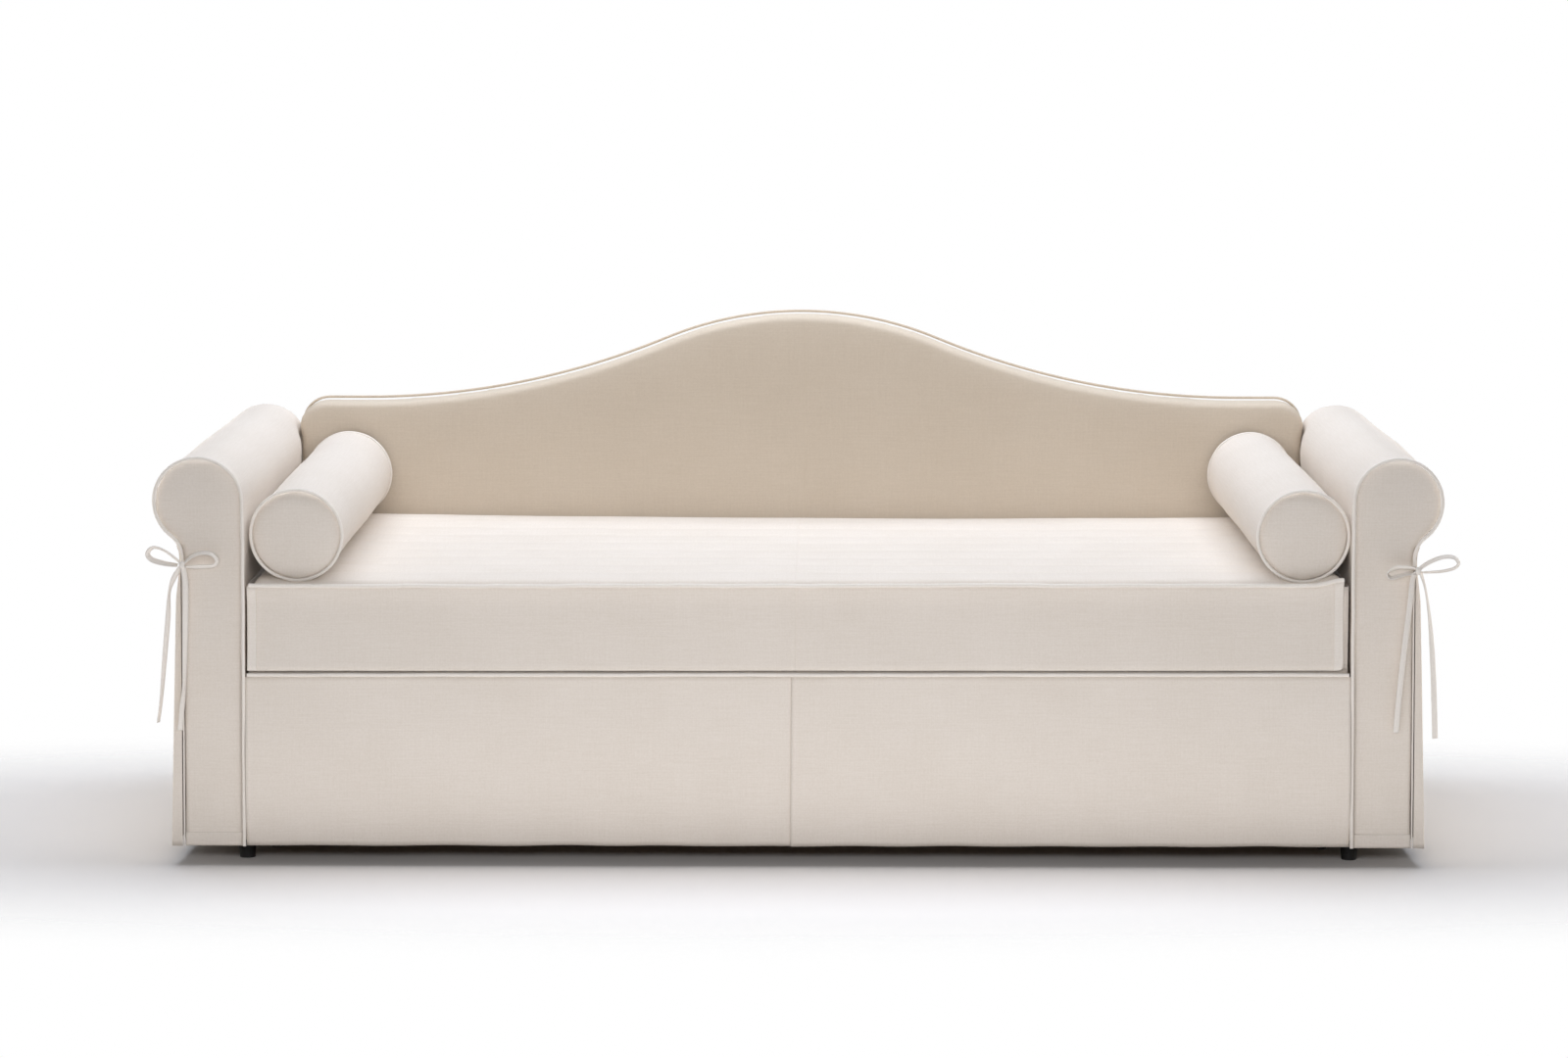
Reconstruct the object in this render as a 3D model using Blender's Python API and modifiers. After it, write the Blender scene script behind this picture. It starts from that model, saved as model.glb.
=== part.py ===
# Trundle daybed in loose covers: two scroll arms, a camel back, a mattress on a
# slatted base, two bolsters, and a second bed on castors that rolls out below.
# Metres, +X to the right, +Y to the back, +Z up, the floor at z = 0.

import math

import bmesh
import bpy
from mathutils import Vector

# Clearances
FIT = 0.0003             # between pieces that seat on each other
SIDE_PLAY = 0.0025       # from a loose piece to the arm beside it
TRUNDLE_PLAY = 0.005     # from the trundle to the arms and the back
OVERCUT = 0.020          # how far a cutter runs past the face it opens

# Cloth, piping and tape
CLOTH = 0.004            # lined canvas of the covers
SKIRT_CLOTH = 0.0025
PIPING_RADIUS = 0.003
TAPE_WIDTH = 0.010
TAPE = 0.002
HEM = 0.038              # height of the hems above the floor

# Arms
BED_WIDTH = 1.920        # between the inner faces of the arms
ARM_WALL = 0.110
ARM_TOP = 0.721
SCROLL_RADIUS = 0.0785
NECK_RADIUS = 0.045      # hollow curve below the scroll
SADDLE = 0.030           # panel top below the scroll's centre
SLIT_WIDTH = 0.006
FOOT_RADIUS = 0.0165
FOOT_TAPER = 0.003
FOOT_INSET = 0.085       # foot centre from the end of the arm
FOOT_SIDE = 0.012        # foot centre from the inner face of the arm

# Tape ties on the front outer corners
TIE_HEIGHT = 0.533
KNOT_RADIUS = 0.008
LOOP_LENGTH = 0.062
LOOP_HEIGHT = 0.030
OUTER_LOOP_RISE = math.radians(18)
INNER_LOOP_RISE = math.radians(10)
OUTER_TAIL_SPREAD = 0.042
INNER_TAIL_SPREAD = -0.012
TAIL_LENGTH = 0.285
TAIL_BEND = 0.085        # height of the bend below the knot
TAIL_BEND_SHARE = 0.4    # part of the spread that is reached at the bend

# Back
SEAT_DEPTH = 0.830       # from the front of the arms to the face of the back
BACK_ROOM = 0.085        # from the face of the back to the rear of the arms
BACK_SHOULDER = 0.734
BACK_TOP = 0.9005
BACK_CORNER = 0.050
CAMEL_REACH = 0.835      # from the middle of the camel to where the shoulders run level
CROWN_SHARE = 0.31       # round top's share of that, the hollow sweep has the rest
BACK_ROUND = 0.020
BOARD = 0.022
BOARD_INSET = 0.030
BOARD_FROM_REAR = 0.012  # padding behind the board

# Base and slats
RAIL_WIDTH = 0.045
BASE_RAIL_TOP = 0.332
BASE_RAIL_HEIGHT = 0.050
SLAT = 0.010
SLAT_WIDTH = 0.062
SLAT_COUNT = 13
SLAT_END = 0.008         # slat end to the outer face of the rail
SLAT_SPAN_INSET = 0.035  # first slat to the end of the rail
STRAP_WIDTH = 0.025
STRAP = 0.0015
STRAP_SINK = 0.0005      # how far the strap is pressed into the slats
STRAP_INSET = 0.180

# Bolts
BOLT_RADIUS = 0.004
BOLT_HEAD_RADIUS = 0.008
BOLT_HEAD = 0.005
BOLT_GRIP = 0.035        # length in the arm panel
ARM_BOLT_INSET = 0.150   # bolt from the end of the side rail
BACK_BOLT_INSET = 0.350  # bolt from the end of the rear rail

# Mattress and its cover
MATTRESS = 0.168
MATTRESS_RISE = 0.010    # top surface, from front to back
MATTRESS_SETBACK = 0.013
DROP_LIFT = 0.003        # cover hem above the underside of the mattress
CHANNELS = 8
CHANNEL_DEPTH = 0.004
MATTRESS_ROUND = 0.008
MATTRESS_END_ROUND = 0.007
FLAP_INSET = 0.018       # corner slit from the end of the cover
FLAP_SLIT = 0.002
FLAP_TOP = 0.030         # corner slit ends this far below the top

# Bolsters
BOLSTER_RADIUS = 0.081
BOLSTER_SETBACK = 0.007  # behind the front of the mattress cover
BOLSTER_REAR_GAP = 0.010 # from the rear end to the face of the back
BOLSTER_WALL_GAP = 0.013
BOLSTER_TURN = {"left": math.radians(-0.5), "right": math.radians(1.4)}
BOLSTER_EDGE = 0.010
BOLSTER_CROWN = 0.008    # swell of the round ends
BOLSTER_SWELL = 0.0015   # swell of the sides

# Trundle
SKIRT_SETBACK = 0.005
SKIRT_GAP = 0.0025       # under the hem of the mattress cover
SKIRT_PLAY = 0.002       # from the skirt to the arms
SKIRT_SLIT = 0.007
SLIT_X = -0.010          # middle slit, a little to the left
SKIRT_FOLDS = 3
SKIRT_FOLD_DEPTH = 0.004
PLEAT_WIDTH = 0.140
PLEAT_LIFT = 0.004
FRONT_BOARD = 0.016
FRONT_BOARD_BOTTOM = 0.046
TRUNDLE_RAIL_HEIGHT = 0.040
TRUNDLE_MATTRESS = 0.120
TRUNDLE_MATTRESS_ROUND = 0.020

# Castors
CASTOR_HEIGHT = 0.062
CASTOR_INSET = 0.150     # castor centre from the front and rear of the trundle frame
WHEEL_RADIUS = 0.025
WHEEL_WIDTH = 0.016
WHEEL_ROUND = 0.003
WHEEL_WEB = 0.007
RIM_RADIUS = 0.019
HUB_RADIUS = 0.008
AXLE_RADIUS = 0.003
AXLE_HEAD_RADIUS = 0.0055
AXLE_HEAD = 0.0015
BRACKET = 0.002          # sheet of the bracket
BRACKET_LENGTH = 0.056
BRACKET_LIP = 0.002      # turned-down edge along the flange
BRACKET_PLAY = 0.001     # each side of the wheel
CHEEK_TOP = 0.038        # cheek width where it leaves the flange
CHEEK_END_RADIUS = 0.008

# Facets
SCROLL_STEPS = 22
UNDER_STEPS = 12         # lower part of the roll
NECK_STEPS = 6
CORNER_STEPS = 6
SWEEP_STEPS = 10
CROWN_STEPS = 10
EDGE_STEPS = 4
ROUND_RESOLUTION = 2
HIDDEN_RESOLUTION = 1    # rims inside the covers
PIPING_RESOLUTION = 1
TURN_STEPS = 20
PIN_STEPS = 12           # bolts, axles and their holes
BOLSTER_STEPS = 28
DOME_STEPS = 3           # swollen end of a bolster
CHANNEL_STEPS = 4
FOLD_STEPS = 8
SKIRT_ROWS = 4
LOOP_STEPS = 18

# Levels and planes that several pieces share
ARM_DEPTH = SEAT_DEPTH + BACK_ROOM
ARM_FRONT = -ARM_DEPTH / 2
ARM_FACE = ARM_DEPTH / 2 - 2 * PIPING_RADIUS - FIT
SCROLL_HEIGHT = ARM_TOP - SCROLL_RADIUS
FOOT_HEIGHT = HEM - FIT
BACK_FRONT = ARM_FRONT + SEAT_DEPTH
BACK_DEPTH = ARM_FACE - BACK_FRONT
BACK_MIDDLE = BACK_FRONT + BACK_DEPTH / 2
BACK_WIDTH = BED_WIDTH - 2 * SIDE_PLAY
BOARD_MIDDLE = ARM_FACE - CLOTH - BOARD_FROM_REAR - BOARD / 2
BASE_RAIL_MIDDLE = BASE_RAIL_TOP - BASE_RAIL_HEIGHT / 2
MATTRESS_BOTTOM = BASE_RAIL_TOP + SLAT + 2 * FIT
COVER_TOP = MATTRESS_BOTTOM + MATTRESS + FIT + CLOTH
COVER_FRONT = ARM_FRONT + MATTRESS_SETBACK
COVER_REAR = BACK_FRONT - FIT
COVER_WIDTH = BED_WIDTH - 2 * SIDE_PLAY
TOP_RUN = COVER_REAR - COVER_FRONT - 2 * MATTRESS_ROUND
FRONT_EDGE = COVER_TOP - MATTRESS_RISE - CHANNEL_DEPTH
DROP_HEM = MATTRESS_BOTTOM + DROP_LIFT
SKIRT_TOP = DROP_HEM - SKIRT_GAP - 2 * PIPING_RADIUS - FIT
SKIRT_FRONT = ARM_FRONT + SKIRT_SETBACK
PLEAT_FRONT = SKIRT_FRONT + SKIRT_CLOTH + FIT
BOARD_FRONT = PLEAT_FRONT + SKIRT_CLOTH + FIT
BOARD_REAR = BOARD_FRONT + FRONT_BOARD
TRUNDLE_WIDTH = BED_WIDTH - 2 * TRUNDLE_PLAY
TRUNDLE_FRONT = BOARD_REAR + FIT
TRUNDLE_REAR = BACK_FRONT - TRUNDLE_PLAY
BASE_FRONT = BOARD_REAR + FIT              # the pushed-in trundle stops on the base
TRUNDLE_RAIL_TOP = CASTOR_HEIGHT + FIT + TRUNDLE_RAIL_HEIGHT
WHEEL_HEIGHT = WHEEL_RADIUS + FIT
CASTOR_X = TRUNDLE_WIDTH / 2 - RAIL_WIDTH / 2

UPRIGHT = (math.pi / 2, 0, 0)              # outline (x, z), thickness along Y
SIDEWAYS = (math.pi / 2, 0, math.pi / 2)   # outline (y, z), thickness along X
ALONG_X = (0, math.pi / 2, 0)
SIDES = {"left": -1, "right": 1}


def clear_scene():
    for item in list(bpy.data.objects):
        bpy.data.objects.remove(item, do_unlink=True)


def new_collection(name):
    group = bpy.data.collections.new(name)
    bpy.context.scene.collection.children.link(group)
    return group


def finish(name, color, roughness, metallic=0.0):
    look = bpy.data.materials.new(name)
    look.use_nodes = True
    shader = look.node_tree.nodes["Principled BSDF"]
    shader.inputs["Base Color"].default_value = (*color, 1.0)
    shader.inputs["Roughness"].default_value = roughness
    shader.inputs["Metallic"].default_value = metallic
    return look


clear_scene()
PARTS = new_collection("Trundle daybed")
CUTTERS = new_collection("Cutters")
CANVAS = finish("ecru canvas", (0.71, 0.65, 0.57), 0.92)
TAPE_LOOK = finish("cotton tape", (0.66, 0.62, 0.56), 0.88)
FOAM = finish("foam", (0.86, 0.82, 0.68), 0.95)
TIMBER = finish("pine", (0.62, 0.44, 0.26), 0.55)
BEECH = finish("beech slat", (0.72, 0.52, 0.33), 0.5)
STEEL = finish("zinc steel", (0.60, 0.60, 0.60), 0.32, 1.0)
PRESSED = finish("black pressed steel", (0.03, 0.03, 0.03), 0.4, 0.6)
RUBBER = finish("black rubber", (0.02, 0.02, 0.02), 0.6)
PLASTIC = finish("black plastic", (0.02, 0.02, 0.02), 0.35)


def put(name, mesh, look, location=(0, 0, 0), rotation=(0, 0, 0), parent=None):
    item = bpy.data.objects.new(name, mesh)
    item.data.materials.append(look)
    item.location = Vector(location)
    item.rotation_euler = rotation
    if parent:
        item.parent = parent
        item.location -= parent.location
    PARTS.objects.link(item)
    return item


def put_cutter(name, mesh, location=(0, 0, 0), rotation=(0, 0, 0)):
    item = bpy.data.objects.new(name, mesh)
    item.location = location
    item.rotation_euler = rotation
    item.hide_render = True
    item.display_type = 'WIRE'
    CUTTERS.objects.link(item)
    return item


def combine(target, other, operation='DIFFERENCE'):
    step = target.modifiers.new(other.name, 'BOOLEAN')
    step.object = other
    step.operation = operation
    step.solver = 'EXACT'


def mesh_from(work, name):
    mesh = bpy.data.meshes.new(name)
    work.to_mesh(mesh)
    work.free()
    return mesh


def box_mesh(name, size):
    work = bmesh.new()
    bmesh.ops.create_cube(work, size=1.0)
    bmesh.ops.scale(work, vec=size, verts=work.verts)
    return mesh_from(work, name)


def span(low, high):
    low = Vector(low)
    high = Vector(high)
    return high - low, (low + high) / 2


def put_box(name, low, high, look, parent=None):
    size, middle = span(low, high)
    return put(name, box_mesh(name, size), look, middle, parent=parent)


def put_box_cutter(name, low, high):
    size, middle = span(low, high)
    return put_cutter(name, box_mesh(name, size), middle)


def rod_mesh(name, radius, length, steps):
    work = bmesh.new()
    bmesh.ops.create_cone(
        work, cap_ends=True, segments=steps, radius1=radius, radius2=radius, depth=length)
    for face in work.faces:
        face.smooth = len(face.verts) == 4
    return mesh_from(work, name)


def arc(center, radius, start, end, steps):
    angles = [start + (end - start) * step / steps for step in range(steps + 1)]
    return [(center[0] + radius * math.cos(a), center[1] + radius * math.sin(a)) for a in angles]


def facing(outline, side):
    if side > 0:
        return outline
    return [(-u, v) for u, v in reversed(outline)]


def curve_mesh(curve):
    carrier = bpy.data.objects.new(curve.name, curve)
    mesh = bpy.data.meshes.new_from_object(carrier)
    bpy.data.objects.remove(carrier)
    work = bmesh.new()
    work.from_mesh(mesh)
    bmesh.ops.remove_doubles(work, verts=work.verts, dist=FIT / 10)
    bmesh.ops.recalc_face_normals(work, faces=work.faces)
    work.to_mesh(mesh)
    work.free()
    return mesh


def add_spline(curve, points, cyclic):
    spline = curve.splines.new('POLY')
    spline.points.add(len(points) - 1)
    for knot, point in zip(spline.points, points):
        knot.co = (*point, 1.0)
    spline.use_cyclic_u = cyclic


# A flat outline given a thickness, with its rim rounded where that is asked for
def plate_mesh(name, outlines, thickness, rounding=0.0, resolution=HIDDEN_RESOLUTION):
    curve = bpy.data.curves.new(name, 'CURVE')
    curve.dimensions = '2D'
    curve.fill_mode = 'BOTH'
    curve.extrude = thickness / 2 - rounding
    curve.bevel_depth = rounding
    curve.bevel_resolution = resolution
    curve.offset = -rounding
    for outline in outlines:
        add_spline(curve, [(u, v, 0.0) for u, v in outline], True)
    return curve_mesh(curve)


# A round cord along a line of points
def piping_mesh(name, points):
    curve = bpy.data.curves.new(name, 'CURVE')
    curve.dimensions = '3D'
    curve.bevel_depth = PIPING_RADIUS
    curve.bevel_resolution = PIPING_RESOLUTION
    curve.use_fill_caps = True
    add_spline(curve, points, False)
    return curve_mesh(curve)


# A profile of (radius, height), top to bottom, turned about the local Z axis
def turned(name, profile, look, steps, location, rotation=(0, 0, 0), parent=None, ring=False):
    count = len(profile)
    edges = [(i, i + 1) for i in range(count - 1)]
    if ring:
        edges.append((count - 1, 0))
    mesh = bpy.data.meshes.new(name)
    mesh.from_pydata([(radius, 0.0, height) for radius, height in profile], edges, [])
    item = put(name, mesh, look, location, rotation, parent)
    screw = item.modifiers.new("turn", 'SCREW')
    screw.axis = 'Z'
    screw.angle = 2 * math.pi
    screw.steps = steps
    screw.render_steps = steps
    screw.use_merge_vertices = True
    screw.merge_threshold = FIT / 10
    screw.use_smooth_shade = True
    return item


def mirrored_profile(upper):
    return upper + [(radius, -height) for radius, height in reversed(upper)]


# Centre of the hollow neck below the scroll, and the angle at which the two curves meet
def neck_fillet():
    neck_u = ARM_WALL + NECK_RADIUS
    across = neck_u - SCROLL_RADIUS
    drop = math.sqrt((SCROLL_RADIUS + NECK_RADIUS) ** 2 - across ** 2)
    return (neck_u, SCROLL_HEIGHT - drop), math.atan2(drop, across)


# Outline of an arm from the front: u runs outward from the inner face
def keyhole(inset, bottom):
    center, meet = neck_fillet()
    neck = arc(center, NECK_RADIUS + inset, math.pi, math.pi - meet, NECK_STEPS)
    scroll = arc((SCROLL_RADIUS, SCROLL_HEIGHT), SCROLL_RADIUS - inset, -meet, math.pi, SCROLL_STEPS)
    return [(ARM_WALL - inset, bottom)] + neck[:-1] + scroll + [(inset, bottom)]


# The scroll closed to a full round, with the same facets as the cover over it
def scroll_round(inset):
    meet = neck_fillet()[1]
    center = (SCROLL_RADIUS, SCROLL_HEIGHT)
    over = arc(center, SCROLL_RADIUS - inset, -meet, math.pi, SCROLL_STEPS)
    under = arc(center, SCROLL_RADIUS - inset, math.pi, 2 * math.pi - meet, UNDER_STEPS)
    return over + under[1:-1]


# Outline of the back: straight sides, round shoulders, hollow sweeps and a crown
def camel(inset, bottom):
    rise = BACK_TOP - BACK_SHOULDER
    both_radii = (CAMEL_REACH ** 2 + rise ** 2) / (2 * rise)
    crown = CROWN_SHARE * both_radii
    sweep = both_radii - crown
    turn = 2 * math.atan(rise / CAMEL_REACH)
    up = math.pi / 2
    corner = (BACK_WIDTH / 2 - BACK_CORNER, BACK_SHOULDER - BACK_CORNER)
    half = [(BACK_WIDTH / 2 - inset, bottom)]
    half += arc(corner, BACK_CORNER - inset, 0.0, up, CORNER_STEPS)
    half += arc((CAMEL_REACH, BACK_SHOULDER + sweep), sweep + inset, -up, -up - turn, SWEEP_STEPS)[:-1]
    half += arc((0.0, BACK_TOP - crown), crown - inset, up - turn, up, CROWN_STEPS)
    return half + [(-u, v) for u, v in reversed(half[:-1])]


# Section of the mattress: round edges and a row of shallow channels on top, which rises to the back
def channelled(inset, bottom):
    rear = COVER_REAR - inset
    front = COVER_FRONT + inset
    top = COVER_TOP - inset
    radius = MATTRESS_ROUND
    level = top - CHANNEL_DEPTH
    steps = CHANNELS * CHANNEL_STEPS
    width = rear - front - 2 * radius
    waves = []
    for step in range(1, steps):
        share = step / steps
        swell = CHANNEL_DEPTH * abs(math.sin(math.pi * step / CHANNEL_STEPS))
        waves.append((rear - radius - width * share, level - MATTRESS_RISE * share + swell))
    rear_edge = arc((rear - radius, level - radius), radius, 0.0, math.pi / 2, EDGE_STEPS)
    front_center = (front + radius, level - MATTRESS_RISE - radius)
    front_edge = arc(front_center, radius, math.pi / 2, math.pi, EDGE_STEPS)
    return [(rear, bottom)] + rear_edge + waves + front_edge + [(front, bottom)]


def put_bolt(name, length, location, rotation):
    head_end = length + BOLT_HEAD
    profile = [
        (0.0, head_end),
        (BOLT_HEAD_RADIUS - BOLT_RADIUS, head_end),
        (BOLT_HEAD_RADIUS, length + BOLT_HEAD / 2),
        (BOLT_HEAD_RADIUS, length),
        (BOLT_RADIUS, length),
        (BOLT_RADIUS, 0.0),
        (0.0, 0.0),
    ]
    turned(name, profile, STEEL, PIN_STEPS, location, rotation)


def bolt_hole(name, length, location, rotation):
    return put_cutter(name, rod_mesh(name, BOLT_RADIUS + FIT, length, PIN_STEPS), location, rotation)


def make_arm(word, side):
    wall = side * BED_WIDTH / 2
    depth = 2 * ARM_FACE
    inner_depth = depth - 2 * CLOTH
    low = HEM - OVERCUT
    cover_mesh = plate_mesh("arm_cover_" + word, [facing(keyhole(0.0, HEM), side)], depth)
    cover = put("arm_cover_" + word, cover_mesh, CANVAS, (wall, 0, 0), UPRIGHT)
    hollow_mesh = plate_mesh("arm_hollow_" + word, [facing(keyhole(CLOTH, low), side)], inner_depth)
    combine(cover, put_cutter("arm_hollow_" + word, hollow_mesh, (wall, 0, 0), UPRIGHT))
    corner = wall + side * ARM_WALL
    slit_low = (corner - SLIT_WIDTH, -ARM_FACE - OVERCUT, low)
    slit_high = (corner + SLIT_WIDTH, -ARM_FACE + SLIT_WIDTH, TIE_HEIGHT - KNOT_RADIUS)
    combine(cover, put_box_cutter("arm_slit_" + word, slit_low, slit_high))

    skin = CLOTH + FIT
    length = depth - 2 * skin
    roll_mesh = plate_mesh("arm_roll_" + word, [facing(scroll_round(skin), side)], length)
    put("arm_roll_" + word, roll_mesh, FOAM, (wall, 0, 0), UPRIGHT)
    saddle_mesh = plate_mesh("arm_saddle_" + word, [facing(scroll_round(CLOTH), side)], length + OVERCUT)
    saddle = put_cutter("arm_saddle_" + word, saddle_mesh, (wall, 0, 0), UPRIGHT)
    faces = sorted((wall + side * skin, wall + side * (ARM_WALL - skin)))
    panel_low = (faces[0], -length / 2, FOOT_HEIGHT + FIT)
    panel_high = (faces[1], length / 2, SCROLL_HEIGHT - SADDLE)
    panel = put_box("arm_panel_" + word, panel_low, panel_high, TIMBER)
    combine(panel, saddle)
    make_arm_piping(word, side, wall)
    make_feet(word, wall + side * FOOT_SIDE)
    make_tie(word, side, corner)
    return cover, panel


# Piping from the inner hem, over the scroll and down the neck to the tie
def make_arm_piping(word, side, wall):
    outline = keyhole(PIPING_RADIUS, HEM)[1:]
    start = (ARM_WALL - PIPING_RADIUS, TIE_HEIGHT)
    line = [(side * u, v, 0.0) for u, v in [start] + outline]
    place = (wall, ARM_FRONT + PIPING_RADIUS, 0)
    put("arm_piping_" + word, piping_mesh("arm_piping_" + word, line), CANVAS, place, UPRIGHT)


def make_feet(word, x):
    profile = [
        (0.0, FOOT_HEIGHT),
        (FOOT_RADIUS, FOOT_HEIGHT),
        (FOOT_RADIUS, FOOT_HEIGHT - FOOT_TAPER),
        (FOOT_RADIUS - FOOT_TAPER, 0.0),
        (0.0, 0.0),
    ]
    reach = ARM_DEPTH / 2 - FOOT_INSET
    for end, y in (("front", -reach), ("rear", reach)):
        turned("foot_" + end + "_" + word, profile, PLASTIC, TURN_STEPS, (x, y, 0))


# Closed drop shape with its point at the knot
def loop_outline(length, height, rise, outward, start):
    points = []
    for step in range(LOOP_STEPS):
        t = 2 * math.pi * step / LOOP_STEPS
        along = start + (length - start) * (1 - math.cos(t)) / 2
        up = height / 2 * math.sin(t) * math.sin(t / 2)
        u = along * math.cos(rise) - up * math.sin(rise)
        v = along * math.sin(rise) + up * math.cos(rise)
        points.append((u, v))
    return facing(points, outward)


def tail_outline(spread):
    line = [(0.0, KNOT_RADIUS / 2), (spread * TAIL_BEND_SHARE, -TAIL_BEND), (spread, -TAIL_LENGTH)]
    right = [(u + TAPE_WIDTH / 2, v) for u, v in line]
    left = [(u - TAPE_WIDTH / 2, v) for u, v in line]
    return list(reversed(right)) + left


def make_tie(word, side, corner):
    tail_y = ARM_FRONT - FIT - TAPE / 2
    tail_place = (corner, tail_y, TIE_HEIGHT)
    bow_place = (corner, tail_y - TAPE - FIT, TIE_HEIGHT)
    tail_mesh = plate_mesh("tie_tails_" + word, [facing(tail_outline(OUTER_TAIL_SPREAD), side)], TAPE)
    tails = put("tie_tails_" + word, tail_mesh, TAPE_LOOK, tail_place, UPRIGHT)
    inner_mesh = plate_mesh("inner_tail_" + word, [facing(tail_outline(INNER_TAIL_SPREAD), side)], TAPE)
    combine(tails, put_cutter("inner_tail_" + word, inner_mesh, tail_place, UPRIGHT), 'UNION')
    knot_mesh = rod_mesh("tie_bow_" + word, KNOT_RADIUS, TAPE, TURN_STEPS)
    bow = put("tie_bow_" + word, knot_mesh, TAPE_LOOK, bow_place, UPRIGHT)
    for end, outward, rise in (("outer", side, OUTER_LOOP_RISE), ("inner", -side, INNER_LOOP_RISE)):
        rim = loop_outline(LOOP_LENGTH, LOOP_HEIGHT, rise, outward, 0.0)
        hole_length = LOOP_LENGTH - TAPE_WIDTH / 2
        hole = loop_outline(hole_length, LOOP_HEIGHT - TAPE_WIDTH, rise, outward, KNOT_RADIUS)
        name = end + "_loop_" + word
        combine(bow, put_cutter(name, plate_mesh(name, [rim, hole], TAPE), bow_place, UPRIGHT), 'UNION')


def make_back():
    low = HEM - 2 * BACK_ROUND
    place = (0, BACK_MIDDLE, 0)
    trim_low = (-BED_WIDTH, BACK_FRONT - OVERCUT, low - OVERCUT)
    trim_high = (BED_WIDTH, ARM_FACE + OVERCUT, HEM)
    trim = put_box_cutter("back_trim", trim_low, trim_high)
    cover_mesh = plate_mesh("back_cover", [camel(0.0, low)], BACK_DEPTH, BACK_ROUND, ROUND_RESOLUTION)
    cover = put("back_cover", cover_mesh, CANVAS, place, UPRIGHT)
    hollow_mesh = plate_mesh("back_hollow", [camel(CLOTH, low)], BACK_DEPTH - 2 * CLOTH, BACK_ROUND - CLOTH)
    combine(cover, put_cutter("back_hollow", hollow_mesh, place, UPRIGHT))
    combine(cover, trim)

    skin = CLOTH + FIT
    pad_mesh = plate_mesh("back_pad", [camel(skin, low)], BACK_DEPTH - 2 * skin, BACK_ROUND - skin)
    pad = put("back_pad", pad_mesh, FOAM, place, UPRIGHT)
    board_place = (0, BOARD_MIDDLE, 0)
    pocket_mesh = plate_mesh("board_pocket", [camel(BOARD_INSET - FIT, low)], BOARD + 2 * FIT)
    combine(pad, put_cutter("board_pocket", pocket_mesh, board_place, UPRIGHT))
    combine(pad, trim)
    board_mesh = plate_mesh("back_board", [camel(BOARD_INSET, HEM)], BOARD)
    board = put("back_board", board_mesh, TIMBER, board_place, UPRIGHT)

    line = [(u, v, 0.0) for u, v in camel(BACK_ROUND + PIPING_RADIUS, HEM)]
    place = (0, ARM_FACE + FIT + PIPING_RADIUS, 0)
    put("back_piping", piping_mesh("back_piping", line), CANVAS, place, UPRIGHT)
    return cover, pad, board


# Four rails round a bed, the side rails between the front and rear ones or outside them
def make_rails(group, half_width, front, rear, top, height, sides_outside, parent=None):
    inner = half_width - RAIL_WIDTH
    cross_x = inner - FIT if sides_outside else half_width
    side_front = front if sides_outside else front + RAIL_WIDTH + FIT
    side_rear = rear if sides_outside else rear - RAIL_WIDTH - FIT
    low = top - height
    rails = {}
    for end, y in (("front", front), ("rear", rear - RAIL_WIDTH)):
        name = group + "_rail_" + end
        rails[end] = put_box(name, (-cross_x, y, low), (cross_x, y + RAIL_WIDTH, top), TIMBER, parent)
    for word, side in SIDES.items():
        name = group + "_rail_" + word
        x = sorted((side * inner, side * half_width))
        rails[word] = put_box(name, (x[0], side_front, low), (x[1], side_rear, top), TIMBER, parent)
    return rails


# Slats across the bed, held at their distance by two straps
def make_slats(name, half_width, front, rear, bottom, parent=None):
    reach = half_width - SLAT_SPAN_INSET - SLAT_WIDTH / 2
    middle = (front + rear) / 2
    size = (SLAT_WIDTH, rear - front - 2 * SLAT_END, SLAT)
    work = bmesh.new()
    for number in range(SLAT_COUNT):
        x = -reach + 2 * reach * number / (SLAT_COUNT - 1)
        slat = bmesh.ops.create_cube(work, size=1.0)["verts"]
        bmesh.ops.scale(work, vec=size, verts=slat)
        bmesh.ops.translate(work, vec=(x, middle, bottom + SLAT / 2), verts=slat)
    slats = put_cutter(name + "_row", mesh_from(work, name + "_row"))
    work = bmesh.new()
    for y in (front + STRAP_INSET, rear - STRAP_INSET):
        strap = bmesh.ops.create_cube(work, size=1.0)["verts"]
        bmesh.ops.scale(work, vec=(2 * reach, STRAP_WIDTH, STRAP), verts=strap)
        bmesh.ops.translate(work, vec=(0, y, bottom + STRAP_SINK - STRAP / 2), verts=strap)
    origin = parent.location if parent else Vector()
    bmesh.ops.translate(work, vec=-origin, verts=work.verts)
    straps = put(name, mesh_from(work, name), BEECH, origin, parent=parent)
    combine(straps, slats, 'UNION')


def make_base(covers, panels, back):
    half = BED_WIDTH / 2 - FIT
    rear = BACK_FRONT - FIT
    rails = make_rails("base", half, BASE_FRONT, rear, BASE_RAIL_TOP, BASE_RAIL_HEIGHT, True)
    make_slats("base_slats", half, BASE_FRONT, rear, BASE_RAIL_TOP + FIT)
    make_arm_bolts(rails, covers, panels, half, rear)
    make_back_bolts(rails["rear"], back, half, rear)


def make_arm_bolts(rails, covers, panels, half, rear):
    length = RAIL_WIDTH + CLOTH + 2 * FIT + BOLT_GRIP
    for word, side in SIDES.items():
        for end, y in (("front", BASE_FRONT + ARM_BOLT_INSET), ("rear", rear - ARM_BOLT_INSET)):
            tail = side * (half - RAIL_WIDTH - FIT + length)
            turn = (0, -side * math.pi / 2, 0)
            put_bolt("arm_bolt_" + end + "_" + word, length, (tail, y, BASE_RAIL_MIDDLE), turn)
            middle = (tail - side * length / 2, y, BASE_RAIL_MIDDLE)
            hole = bolt_hole("arm_bolt_hole_" + end + "_" + word, length + 2 * FIT, middle, turn)
            for piece in (rails[word], covers[word], panels[word]):
                combine(piece, hole)


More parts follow.
